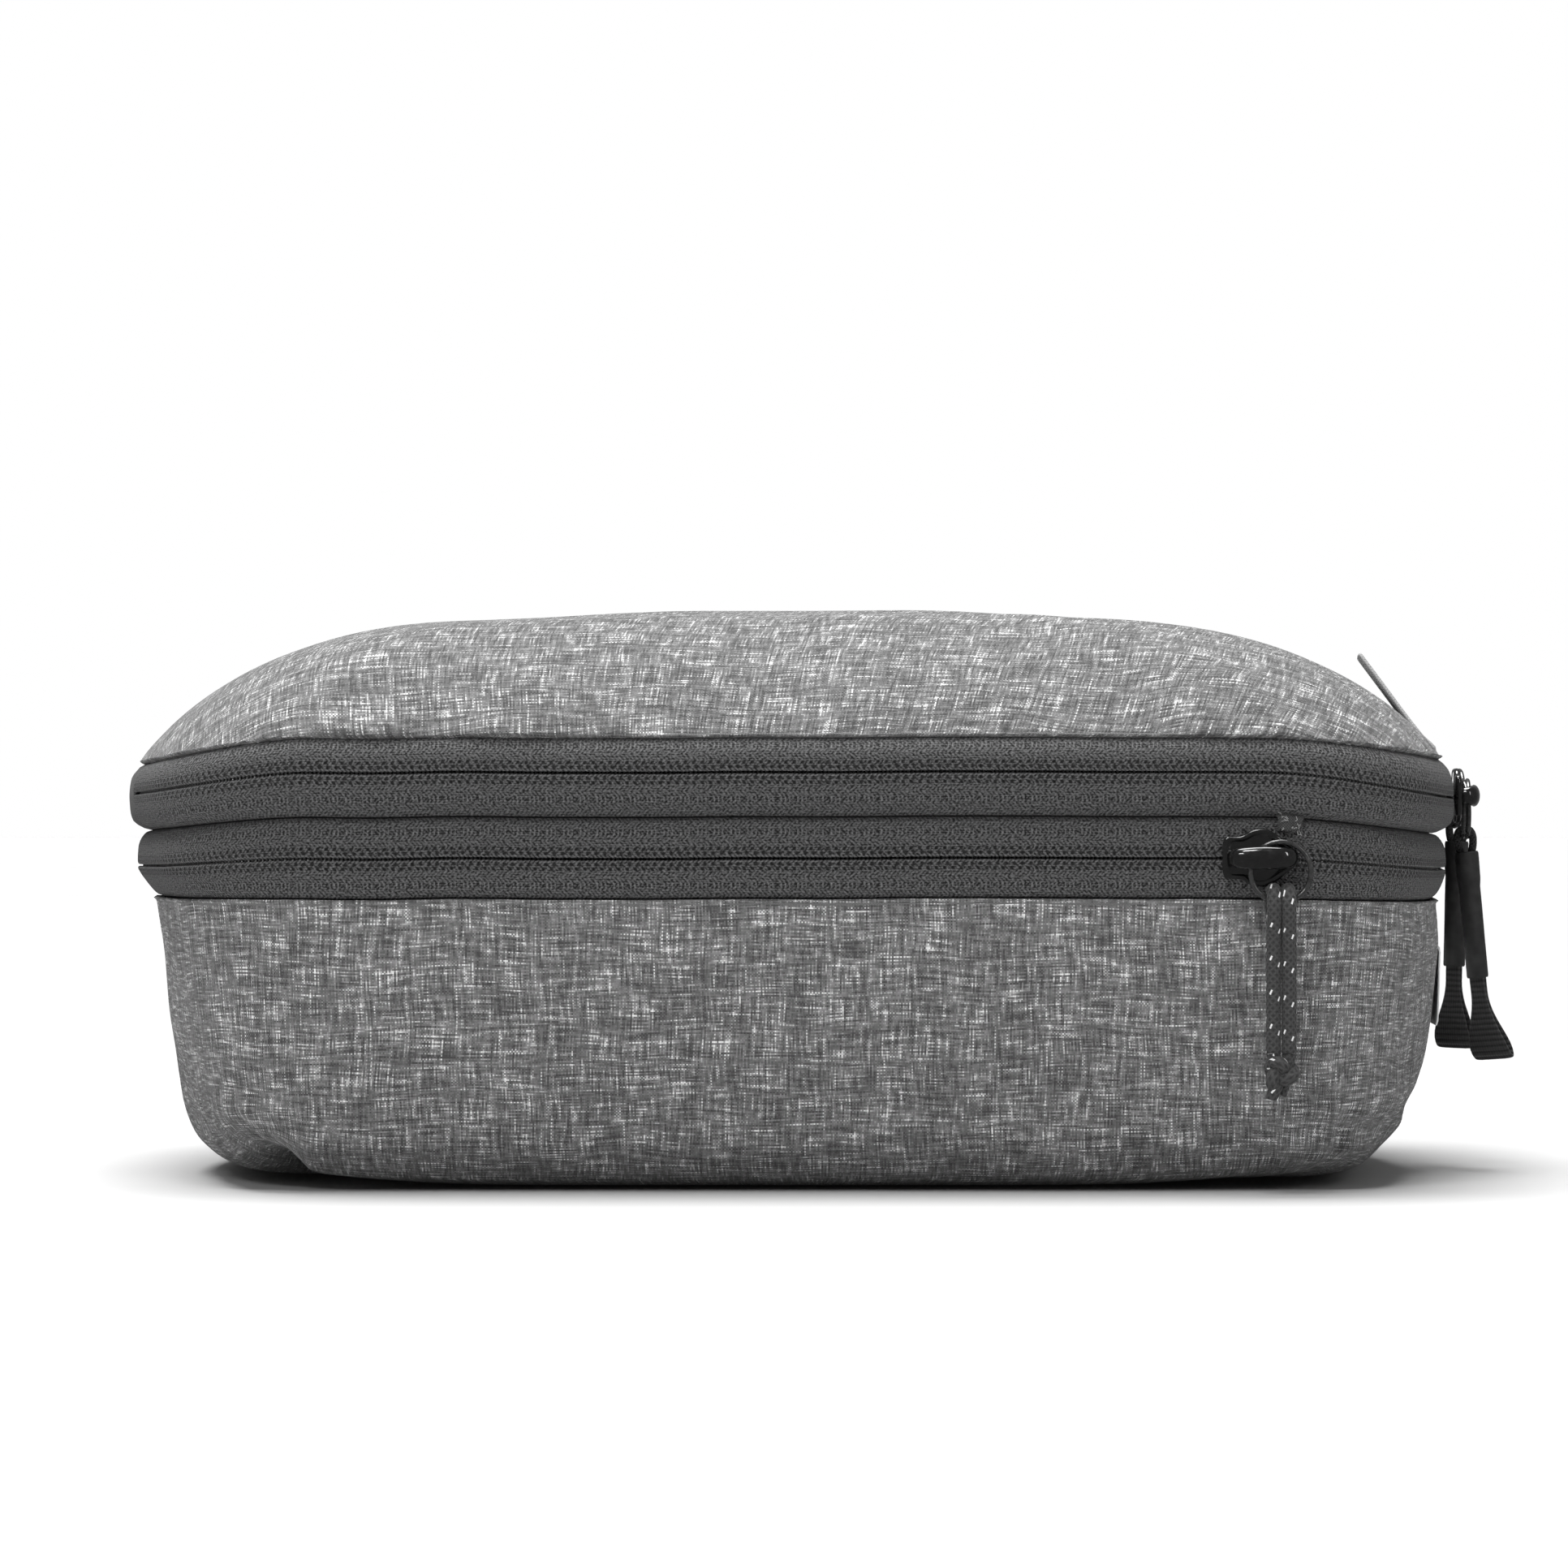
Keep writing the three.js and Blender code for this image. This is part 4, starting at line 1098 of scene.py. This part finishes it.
def tub_wrinkles(u, level):
    """How far the tub's cloth stands out from its smooth shape."""
    low = smooth((30 - level) / 22)
    high = smooth((level - 40) / 13)
    broad = 0.55 * ripple(u, level, 52, 34, 11, ROUND)
    middle = 0.30 * ripple(u + 0.5 * level, level, 24, 15, 12, ROUND)
    lean = 0.6 * ripple(u, level, 60, 30, 19, ROUND) * 12
    crease = 0.55 - 2 * np.abs(ripple(u, level + lean, 46, 9.5, 13, ROUND))
    folds = 0.85 * crease * low
    fine = 0.22 * ripple(u + level, level, 11, 4.5, 14, ROUND) * low
    pucker = 0.16 * ripple(u, level, 4.2, 16, 15, ROUND) * smooth((level - 45) / 8)
    across = corner_distance(u)
    corner_low = smooth((19 - level) / 9) * smooth(level / 2.5)
    seam = -1.15 * bell(across, 0, 1.1) * corner_low
    swell = 0.75 * (bell(across, 5.0, 3.4) + bell(across, -5.0, 3.4)) * corner_low
    near_corner = bell(across, 0, 26) * smooth((34 - level) / 20)
    rays = 0.5 * ripple(across * 30 / (6 + level), level, 14, 40, 16) * near_corner
    return broad * (1 - 0.6 * high) + middle * (1 - 0.7 * high) + folds + fine + pucker + seam + swell + rays


def corner_lift(u, level):
    """The underside curls up off the floor towards each corner, most of all at the left."""
    left = smooth((-outward(u)[:, 0] + 0.2) / 0.6)
    reach = bell(corner_distance(u), 0, 26)
    return (1.8 + 4.4 * left) * reach * smooth((16 - level) / 14)


def tub_inset(u, level):
    """The inset of the tub's wrinkled wall at a level and distances u."""
    return inset_at(level) - tub_wrinkles(u, level) * smooth(level / 4) + end_slack(u, level)


def tub_cloth():
    """The tub: a rim turned in under the tape, the walls, and the base."""
    u = column_distances()
    frill = tub_wrinkles(u, 53.0) + 0.10 * ripple(u, 0, 2.6, 1, 17, ROUND)
    rows = []
    for level, turned_in in ((52.0, 1.1), (53.0, 0.55), (TUB_SEAM - 0.02, 0.05), (TUB_SEAM - 0.35, -0.35)):
        inset = RIM_INSET + turned_in - frill + end_slack(u, TUB_SEAM)
        rows.append(wall_row(u, level, inset, corner_lift(u, level)))
    levels = [*np.arange(52.6, 14, -1.15), *np.linspace(14, 4.3, 12), *np.linspace(3.6, 0.35, 8), 0.0]
    for level in levels:
        rows.append(wall_row(u, level, tub_inset(u, level), corner_lift(u, level)))
    edge = rows[-1]
    for share in (0.85, 0.68, 0.5, 0.3, 0.1, 0.005):
        rows.append(edge * [share, share, smooth((share - 0.4) / 0.6)])
    coords = wall_coords(rows, np.append(u, ROUND))
    tub = sheet_object("tub_cloth", rows, coords, "tub", [HEATHER, LINING])
    thicken(tub, CLOTH, 1)
    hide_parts("tub_shell")


def dome_share(k):
    """The dome's height above the lid's seam, as a share, at a share k of the way out to the seam."""
    return (1 - k ** 4.6) ** 0.86 - 0.04 * bell(k, 0.42, 0.16)


def lid_wrinkles(u, k, x, y):
    """How far the lid's cloth stands out from its smooth dome."""
    edge = smooth((k - 0.8) / 0.2)
    broad = 0.8 * ripple(x, y, 55, 48, 21) * (1 - edge * 0.4)
    drape = 0.75 * ripple(u, k * 60, 21, 40, 22, ROUND) * smooth((k - 0.4) / 0.35)
    small = 0.28 * ripple(u, k * 60, 7.5, 18, 23, ROUND) * smooth((k - 0.7) / 0.25)
    pucker = 0.20 * ripple(u, 0, 3.4, 1, 24, ROUND) * smooth((k - 0.955) / 0.04)
    return broad + drape + small + pucker


def lid_rows(u):
    """The lid's cloth from its turned-in seam up to the crown."""
    base = ring_at(u, LID_INSET)
    foot = height_at(LID_SEAM + SEAM_GAP, base[:, 0], u)
    way = outward(u)
    wobble = 0.14 * ripple(u, 0, 2.7, 1, 25, ROUND)
    rows = []
    for down, inwards in ((-0.7, 1.6), (-0.2, 0.75), (0.05, 0.15), (0.35, -0.22)):
        rim = ring_at(u, LID_INSET + inwards - wobble)
        rows.append(np.column_stack([rim, foot + down + 0.5 * wobble]))
    for k in 1 - np.linspace(0, 1, 46)[1:-1] ** 1.75:
        out = lid_wrinkles(u, k, base[:, 0] * k, base[:, 1] * k)
        steep = smooth((k - 0.5) / 0.5)
        flat = base * k + way * (out * steep)[:, None]
        # The dome falls a little towards the right end.
        fall = 1.1 * smooth((base[:, 0] * k - 25) / 60) * (1 - steep)
        z = foot + (CROWN - foot) * dome_share(k) + out * (1 - steep * 0.7) - fall
        rows.append(np.column_stack([flat, np.minimum(z, CROWN + 1.2)]))
    rows.append(np.column_stack([base * 0.004, np.full(len(u), CROWN - 0.05)]))
    return np.array(rows)


PATTERN_SLANT = -0.16  # the lid's cloth is cut a little off the straight


def lid_cloth():
    u = column_distances()
    rows = lid_rows(u)
    # The pattern lies flat from the crown outwards, so that the yarns run straight over the dome.
    steps = np.linalg.norm(np.diff(rows[::-1], axis=0), axis=2)
    far = np.vstack([np.zeros(len(u)), np.cumsum(steps, axis=0)])[::-1]
    base = ring_at(u, LID_INSET)
    unit = base / np.linalg.norm(base, axis=1)[:, None]
    pattern = unit[None] * far[..., None]
    slanted = pattern[..., 0] + PATTERN_SLANT * pattern[..., 1]
    coords = np.stack([slanted, pattern[..., 1], np.zeros(far.shape)], -1)
    coords = np.concatenate([coords, coords[:, :1]], 1)
    lid = sheet_object("lid_cloth", rows, coords, "lid", [HEATHER, LINING])
    thicken(lid, CLOTH, 1)
    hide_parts("lid_panel")


tub_cloth()
lid_cloth()

# ---------------------------------------------------------------- zip tapes

TAPE_THICKNESS = 0.7


def tape_rows(u, seam, line, side):
    """A tape from its seam to its zip's line, and how far each of its rows is from the line."""
    near = line + side * EDGE_GAP
    # The seam edge is rolled well in, which makes the groove between neighbouring bands.
    rolled = ((3.4, -0.3), (2.4, 0.15), (1.35, 0.1), (0.62, 0.35), (0.25, 0.8), (0.06, 1.4))
    profile = [(seam - side * back, into) for into, back in rolled]
    profile += [(seam + (near - seam) * t, 0.0) for t in (0.3, 0.42, 0.54, 0.66, 0.76, 0.85, 0.92)]
    lip = ((0.02, 0.35), (0.10, 0.12), (0.32, 0.0), (0.8, 0.02))
    profile += [(near + side * back, into) for into, back in lip]
    rows = []
    for level, into in profile:
        swell = 0.18 * np.sin(math.pi * np.clip(abs(level - seam) / abs(line - seam), 0, 1))
        wobble = 0.10 * ripple(u, level, 22, 9, 31, ROUND) + 0.05 * ripple(u, level, 6, 5, 32, ROUND)
        rows.append(wall_row(u, level, inset_at(level) + into - swell - wobble + end_slack(u, level)))
    away = [abs(level - line) for level, _ in profile]
    away[-1] += lip[-1][0]  # the last row lies behind the edge
    return rows, away


def tape(name, node, body, seam, line, whole_way):
    """One side of a zip. The main zip's tapes stop at the hinge."""
    side = 1 if seam > line else -1
    if whole_way:
        u = column_distances()
        marks = np.append(u, ROUND)
    else:
        u = column_distances(COLUMNS - 60, HINGE_HALF_WIDTH, ROUND - HINGE_HALF_WIDTH, closed=False)
        marks = u
    rows, away = tape_rows(u, seam, line, side)
    coords = np.array([[(mark, v, 0) for mark in marks] for v in away])
    piece = sheet_object(name, rows, coords, body, [TAPE], closed_u=whole_way)
    thicken(piece, TAPE_THICKNESS)
    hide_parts(node)


tape("lower_compression_tape", "compression_zip_lower_tape", "tub", TUB_SEAM, COMPRESSION_LINE, True)
tape(
    "upper_compression_tape", "compression_zip_upper_tape", "middle_band",
    MIDDLE_SEAM, COMPRESSION_LINE, True,
)
tape("lower_main_tape", "main_zip_lower_tape", "middle_band", MIDDLE_SEAM, MAIN_LINE, False)
tape("upper_main_tape", "main_zip_upper_tape", "lid", LID_SEAM, MAIN_LINE, False)

# ---------------------------------------------------------------- coils

COIL_STANDOFF = 0.85  # the coil's front, behind the tape's face
COIL_DEEP = 1.7
COIL_WIRE = 0.34
COIL_TURN = [  # (share of a turn, distance from the line, depth)
    (0.00, -0.35, 0.30), (0.10, -0.45, 0.75), (0.22, -0.15, 1.35), (0.36, 1.1, 1.62), (0.50, 2.3, 1.45),
    (0.62, 2.62, 0.85), (0.74, 2.25, 0.25), (0.87, 0.9, 0.0),
]
COIL_GAP = 0.12  # each half's heads stand off the line


def coil(name, node, body, line, side, whole_way):
    """One half of a zip's coil: a flattened helix whose heads meet the other half at the line."""
    stop = 0.0 if whole_way else HINGE_HALF_WIDTH + 0.5
    turns = round((ROUND - 2 * stop) / TOOTH_PITCH)
    start = 0.5 * TOOTH_PITCH if side > 0 else 0.0
    share, away, back = np.array(COIL_TURN).T
    turned = (np.arange(turns)[:, None] + share).ravel()
    u = np.minimum(stop + start + turned * TOOTH_PITCH, ROUND - stop)
    level = np.tile(line + side * (away + COIL_GAP), turns)
    depth = np.tile(back, turns)
    # The heads stand forward near the corners, where the zip is bent open.
    head = smooth((0.9 - depth) / 0.6) * smooth((0.6 - np.abs(level - line)) / 0.3)
    shown = 0.8 * bell(corner_distance(u), 0, 42) * head
    inset = inset_at(line) + COIL_STANDOFF + COIL_WIRE + depth * (COIL_DEEP / max(back)) - shown
    piece = tube_object(name, wall_row(u, level, inset), COIL_WIRE, body, COIL, 5)
    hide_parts(node)


coil("lower_compression_coil", "compression_zip_lower_coil", "tub", COMPRESSION_LINE, -1, True)
coil("upper_compression_coil", "compression_zip_upper_coil", "middle_band", COMPRESSION_LINE, 1, True)
coil("lower_main_coil", "main_zip_lower_coil", "middle_band", MAIN_LINE, -1, False)
coil("upper_main_coil", "main_zip_upper_coil", "lid", MAIN_LINE, 1, False)

# ---------------------------------------------------------------- bindings, gusset and hinge

BINDING_PROFILE = [  # (share of the height, inset)
    (0, 0.45), (0.04, 0.1), (0.2, 0.0), (0.5, -0.08), (0.8, 0.0), (0.96, 0.1), (1, 0.45), (0.85, 0.55),
    (0.5, 0.6), (0.15, 0.55),
]


def binding(name, node, body):
    """A narrow tape sewn round the inside of a seam, with its edges turned a little."""
    low, high = node_box(node)
    inset = HALF_LENGTH - high[0]
    bottom, top = low[2] / (1 - DROP_SHARE), high[2]
    u = column_distances(COLUMNS // 2)
    marks = np.append(u, ROUND)
    rows, coords = [], []
    for share, into in BINDING_PROFILE:
        level = bottom + (top - bottom) * share
        waver = 0.08 * ripple(u, 0, 9, 1, 41, ROUND)
        rows.append(wall_row(u, level, inset + into + end_slack(u, level), waver))
        coords.append([(mark, level, 0) for mark in marks])
    coords.append(coords[0])
    piece = sheet_object(name, rows, np.array(coords), body, [BINDING_CLOTH], closed_v=True)
    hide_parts(node)


binding("tub_seam_tape", "tub_seam_binding", "tub")
binding("middle_seam_tape", "middle_seam_binding", "middle_band")
binding("lid_seam_tape", "lid_seam_binding", "lid")

CORNER_TAPES = {"front_left": 1, "front_right": 3, "rear_right": 5, "rear_left": 7}
CORNER_TAPE_HALF = 2.6  # half its width


def corner_tape(name, stretch):
    """The tape over the boxed seam inside one bottom corner, in the middle of its stretch of the outline."""
    u = np.full(9, STRETCH_ENDS[stretch] - QUARTER / 2)
    across = np.linspace(-1, 1, 9)
    rows, coords = [], []
    for level in np.linspace(5.0, 18.0, 14):
        depth = tub_inset(u, level) + CLOTH + 0.35
        section = []
        for way, back in ((across, 0.25 * across ** 2), (across[::-1], 0.5 + 0.25 * across ** 2)):
            plan = ring_at(u + way * CORNER_TAPE_HALF, depth + back)
            z = height_at(level, plan[:, 0], u) + corner_lift(u, level)
            section.append(np.column_stack([plan, z]))
        rows.append(np.vstack(section))
        round_it = np.concatenate([across, across[::-1], across[:1]])
        coords.append([(a * CORNER_TAPE_HALF, level, 0) for a in round_it])
    points, faces, corners = capped(np.array(rows), np.array(coords))
    piece = new_object("corner_tape_" + name, points, faces, "tub", corners, [BINDING_CLOTH])
    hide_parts("corner_seam_binding_" + name)


for name, stretch in CORNER_TAPES.items():
    corner_tape(name, stretch)

GUSSET_FOLD = [  # [level, inset]: the strip runs in from the tub, turns back, and runs out to the band
    [52.2, 6.4], [55.5, 8.2], [58.5, 12.6], [60.4, 16.0], [60.8, 16.4], [61.2, 16.0], [63.1, 12.6],
    [66.4, 7.8], [69.8, 6.2],
]


def gusset():
    """The folded strip behind the compression zip, which opens as the middle band lifts."""
    u = column_distances(COLUMNS // 2)
    folds = []
    for k, (level, inset) in enumerate(GUSSET_FOLD):
        sewn = k in (0, len(GUSSET_FOLD) - 1)
        slack = 0.35 * ripple(u, level, 12, 8, 42, ROUND) * (0.3 if sewn else 1)
        folds.append(wall_row(u, level, inset - slack + end_slack(u, level)))
    rows = []
    for one, other in zip(folds, folds[1:]):
        rows += [one, (one + other) / 2]
    rows.append(folds[-1])
    coords = wall_coords(rows, np.append(u, ROUND))
    piece = sheet_object("gusset_cloth_fold", rows, coords, None, [GUSSET_CLOTH])
    thicken(piece, 0.35)
    apply_modifiers(piece)
    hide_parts("expansion_gusset")
    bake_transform(piece)


gusset()


def hinge_cloth():
    """The strip of cloth at the left end that joins the lid to the middle band."""
    half = HINGE_HALF_WIDTH - HINGE_GAP
    u = np.linspace(-half, half, 61)
    profile = [(MIDDLE_SEAM - 0.1, 2.6), (MIDDLE_SEAM + 0.05, 1.4), (MIDDLE_SEAM + 0.5, 0.35)]
    profile += [(level, 0.05) for level in np.arange(MIDDLE_SEAM + 1.3, LID_SEAM - 1.2, 0.85)]
    profile += [(LID_SEAM - 0.6, 0.2), (LID_SEAM - 0.1, 0.9), (LID_SEAM, 2.0)]
    rows = []
    for level, into in profile:
        slack = 0.12 * ripple(u, level, 9, 5, 43)
        rows.append(wall_row(u, level, inset_at(level) + into - slack))
    coords = wall_coords(rows, u)
    piece = sheet_object("hinge_cloth", rows, coords, None, [HINGE_CLOTH, LINING], closed_u=False)
    thicken(piece, CLOTH, 1)
    apply_modifiers(piece)
    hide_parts("hinge_strip_lower", "hinge_strip_upper")
    line = MAIN_LINE * (1 - DROP_SHARE)
    (line - 2.0) * MM
    (line + 2.0) * MM
    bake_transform(piece)


hinge_cloth()

# ---------------------------------------------------------------- tab, label and small trim

TAB_SPINE = [
    [122.6, 0, 78.4], [124.0, 0, 80.4], [121.6, 0, 83.2], [118.6, 0, 87.0], [114.6, 0, 92.4],
    [110.2, 0, 98.3],
]
TAB_SKEW = 0.09  # it leans along X by this share of its width


def grab_tab():
    """A folded ribbon loop sewn into the lid's seam: two plies, round at its tip and thin at its sides."""
    low, high = node_box("lid_grab_tab")
    width = high[1] - low[1]
    spine = spline(TAB_SPINE, 26)
    way = directions(spine)
    normal = np.stack([-way[:, 2], np.zeros(len(way)), way[:, 0]], 1)
    thick = np.full(len(spine), 0.5)
    thick[:7] = np.linspace(0.9, 0.5, 7)
    outer = spine + normal * thick[:, None]
    inner = spine - normal * thick[:, None]
    end, ahead, aside = spine[-1], way[-1], normal[-1] * 0.45
    tip = [end + ahead * 0.55 + aside, end + ahead * 0.8, end + ahead * 0.55 - aside]
    loop = np.vstack([outer, tip, inner[::-1]])
    centre_line = np.vstack([spine, [end + ahead * 0.3] * 3, spine[::-1]])
    along = distances(loop)
    along = np.append(along, along[-1] + 2)
    rows, coords = [], []
    for t in np.concatenate([[-0.5, -0.496, -0.485], np.linspace(-0.47, 0.47, 17), [0.485, 0.496, 0.5]]):
        squeeze = 0.25 + 0.75 * smooth((0.5 - abs(t)) / 0.02)
        row = centre_line + (loop - centre_line) * squeeze
        rows.append(row + np.array([TAB_SKEW, 1, 0]) * t * width)
        coords.append([(a, t * width, 0) for a in along])
    points, faces, corners = capped(np.array(rows), np.array(coords))
    tab = new_object("grab_tab_ribbon", points, faces, None, corners, [TAB_CLOTH])
    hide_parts("lid_grab_tab")
    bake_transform(tab)


grab_tab()


def end_label():
    """The blank label: a folded white tape that hangs from a stitched top edge on the right wall."""
    low, high = node_box("end_label")
    middle, width = (low[1] + high[1]) / 2, high[1] - low[1]
    top, bottom = high[2], low[2]
    y = np.linspace(-width / 2, width / 2, 25)
    u = STRETCH_ENDS[3] + HALF_END + middle + y
    profile = [  # (level, distance from the wall)
        (top + 0.4, 0.2), (top, 0.55), (top - 1, 0.75), (top - 4, 0.85), ((top + bottom) / 2, 1.0),
        (bottom + 3, 1.25), (bottom + 0.8, 1.4), (bottom, 1.2),
    ]
    rows, coords = [], []
    for z, out in profile:
        wall = inset_at(z) + end_slack(u, z) - tub_wrinkles(u, z)
        curl = 0.35 * (y / width * 2) ** 2 * smooth((top - z) / 12)
        plan = ring_at(u, wall - out - curl - 0.1 * ripple(y, z, 9, 6, 51))
        rows.append(np.column_stack([plan, np.full(len(y), z)]))
        coords.append([(a, z, 0) for a in y])
    piece = sheet_object("blank_label", rows, np.array(coords), "tub", [LABEL_CLOTH], closed_u=False)
    thicken(piece, 0.35)
    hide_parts("end_label")


end_label()

FRAYED_THREADS = 16
THREAD_RADIUS = 0.055
PLIES = [  # (shift along X, lift off the tape, half the width, shorter by)
    (0.5, 0.0, 2.1, 0.0),
    (-0.6, 0.4, 1.6, 0.7),
]


def ragged_ply(ply, number, middle, face, low, high):
    """One ply of the tape end, with ragged sides and a crooked lower edge."""
    shift, lift, half, foot = ply
    side = np.linspace(-1, 1, 11)
    rows, coords = [], []
    for z in np.linspace(low - 0.2 + foot, high + 0.4, 12):
        wide = half * (0.75 + 0.25 * smooth((z - low) / 3))
        ragged = wide + 0.3 * ripple(side * 9, z, 1.0, 0.6, 61 + number)
        x = middle + shift + side * ragged
        drop = 0.5 * ripple(x, 0, 0.7, 1, 65 + number) * smooth((low + 1.5 - z) / 1.5)
        tucked = 1.7 * smooth((z - high + 1.6) / 1.9)
        y = face - lift + 0.5 * side ** 2 + tucked + 0.15 * ripple(x, z, 0.9, 1.2, 67 + number)
        rows.append(np.column_stack([x, y, z + drop]))
        coords.append([(a, z, 0) for a in x])
    return grid(rows, np.array(coords), closed_u=False)


def frayed_thread(number, middle, face, low):
    """One short, bent thread that sticks out of the tape end."""
    def chance(which):
        return lattice(number, which, 71)

    start = np.array([middle + 1.9 * chance(1), face - 0.45, low + 1.9 + 1.5 * chance(2)])
    way = np.array([0.8 * chance(3) + 0.3, -0.15, 0.8 * chance(4) - 0.35])
    bend = np.array([0.3 * chance(5), 0, 0.3 * chance(6)])
    return tube_mesh(spline([start, start + way * 0.6 + bend, start + way * 1.3], 7), THREAD_RADIUS, 5)


def tape_end():
    """The folded, frayed end of the compression zip's tape, tucked up into the middle seam."""
    low, high = node_box("compression_zip_tape_end")
    middle = (low[0] + high[0]) / 2 - 0.8
    face = low[1] + 0.5
    plies = [ragged_ply(ply, k, middle, face, low[2], high[2]) for k, ply in enumerate(PLIES)]
    points, faces, corners = joined(plies)
    piece = new_object("zip_tape_end", points, faces, "middle_band", corners, [TAPE_END_CLOTH])
    thicken(piece, 0.3)
    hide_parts("compression_zip_tape_end")
    threads = [frayed_thread(k, middle, face, low[2]) for k in range(FRAYED_THREADS)]
    points, faces, corners = joined(threads)
    frayed = new_object("frayed_threads", points, faces, "middle_band", corners, [THREAD])


tape_end()

# ---------------------------------------------------------------- floor and light

FLOOR_REACH = 7.4  # metres, as are the dome's radius and the lights' sizes and places
DOME_RADIUS = 7.5
SKY_STRENGTH = 0.16
MIDDLE_OF_CUBE = (0, 0, 0.07)


def linked(name, data):
    """A new object in the scene."""
    obj = bpy.data.objects.new(name, data)
    bpy.context.scene.collection.objects.link(obj)
    return obj


def make_floor():
    mesh = bpy.data.meshes.new("floor")
    corners = [(x * FLOOR_REACH, y * FLOOR_REACH, 0) for x, y in ((-1, -1), (1, -1), (1, 1), (-1, 1))]
    mesh.from_pydata(corners, [], [(0, 1, 2, 3)])
    mesh.materials.append(floor_paper("floor_paper"))
    floor = linked("floor", mesh)
    floor.visible_glossy = False  # the metal stays black, as with a dark room before it


def make_sky():
    world = bpy.data.worlds.new("world")
    bpy.context.scene.world = world
    world.use_nodes = True
    background = world.node_tree.nodes["Background"]
    background.inputs["Color"].default_value = (1, 1, 1, 1)
    background.inputs["Strength"].default_value = SKY_STRENGTH


def make_backdrop():
    """A white dome that only the camera sees, so that the floor fades into white."""
    bm = bmesh.new()
    bmesh.ops.create_uvsphere(bm, u_segments=48, v_segments=24, radius=DOME_RADIUS)
    mesh = bpy.data.meshes.new("backdrop")
    bm.to_mesh(mesh)
    bm.free()
    white = bpy.data.materials.new("backdrop_white")
    white.use_nodes = True
    tree = white.node_tree
    tree.nodes.clear()
    emission = tree.nodes.new("ShaderNodeEmission")
    emission.inputs["Strength"].default_value = 1.0
    output = tree.nodes.new("ShaderNodeOutputMaterial")
    tree.links.new(emission.outputs[0], output.inputs[0])
    mesh.materials.append(white)
    dome = linked("backdrop", mesh)
    dome.visible_diffuse = False
    dome.visible_glossy = False
    dome.visible_transmission = False
    dome.visible_shadow = False


def facing(direction):
    """The turn of a light that shines along a direction."""
    return Vector(direction).to_track_quat("-Z", "Y").to_euler()


def sun(name, strength, angle, direction):
    data = bpy.data.lights.new(name, "SUN")
    data.energy = strength
    data.angle = math.radians(angle)
    linked(name, data).rotation_euler = facing(direction)


def area(name, power, size, location, target):
    data = bpy.data.lights.new(name, "AREA")
    data.energy = power
    data.shape = "RECTANGLE"
    data.size, data.size_y = size
    lamp = linked(name, data)
    lamp.location = location
    lamp.rotation_euler = facing(Vector(target) - Vector(location))


make_floor()
make_sky()
make_backdrop()
sun("top_light", 4.8, 44, (0.13, -0.19, -1))
area("front_box", 1.9, (0.28, 0.14), (-0.04, -0.52, 0.68), (0.05, 0, 0.07))
area("left_strip", 1.2, (0.30, 0.05), (-0.36, -0.72, 0.50), MIDDLE_OF_CUBE)
area("right_strip", 0.5, (0.04, 0.30), (0.55, -0.60, 0.40), (0.08, 0, 0.07))

view = bpy.context.scene.view_settings
view.view_transform = "Standard"
view.look = "None"
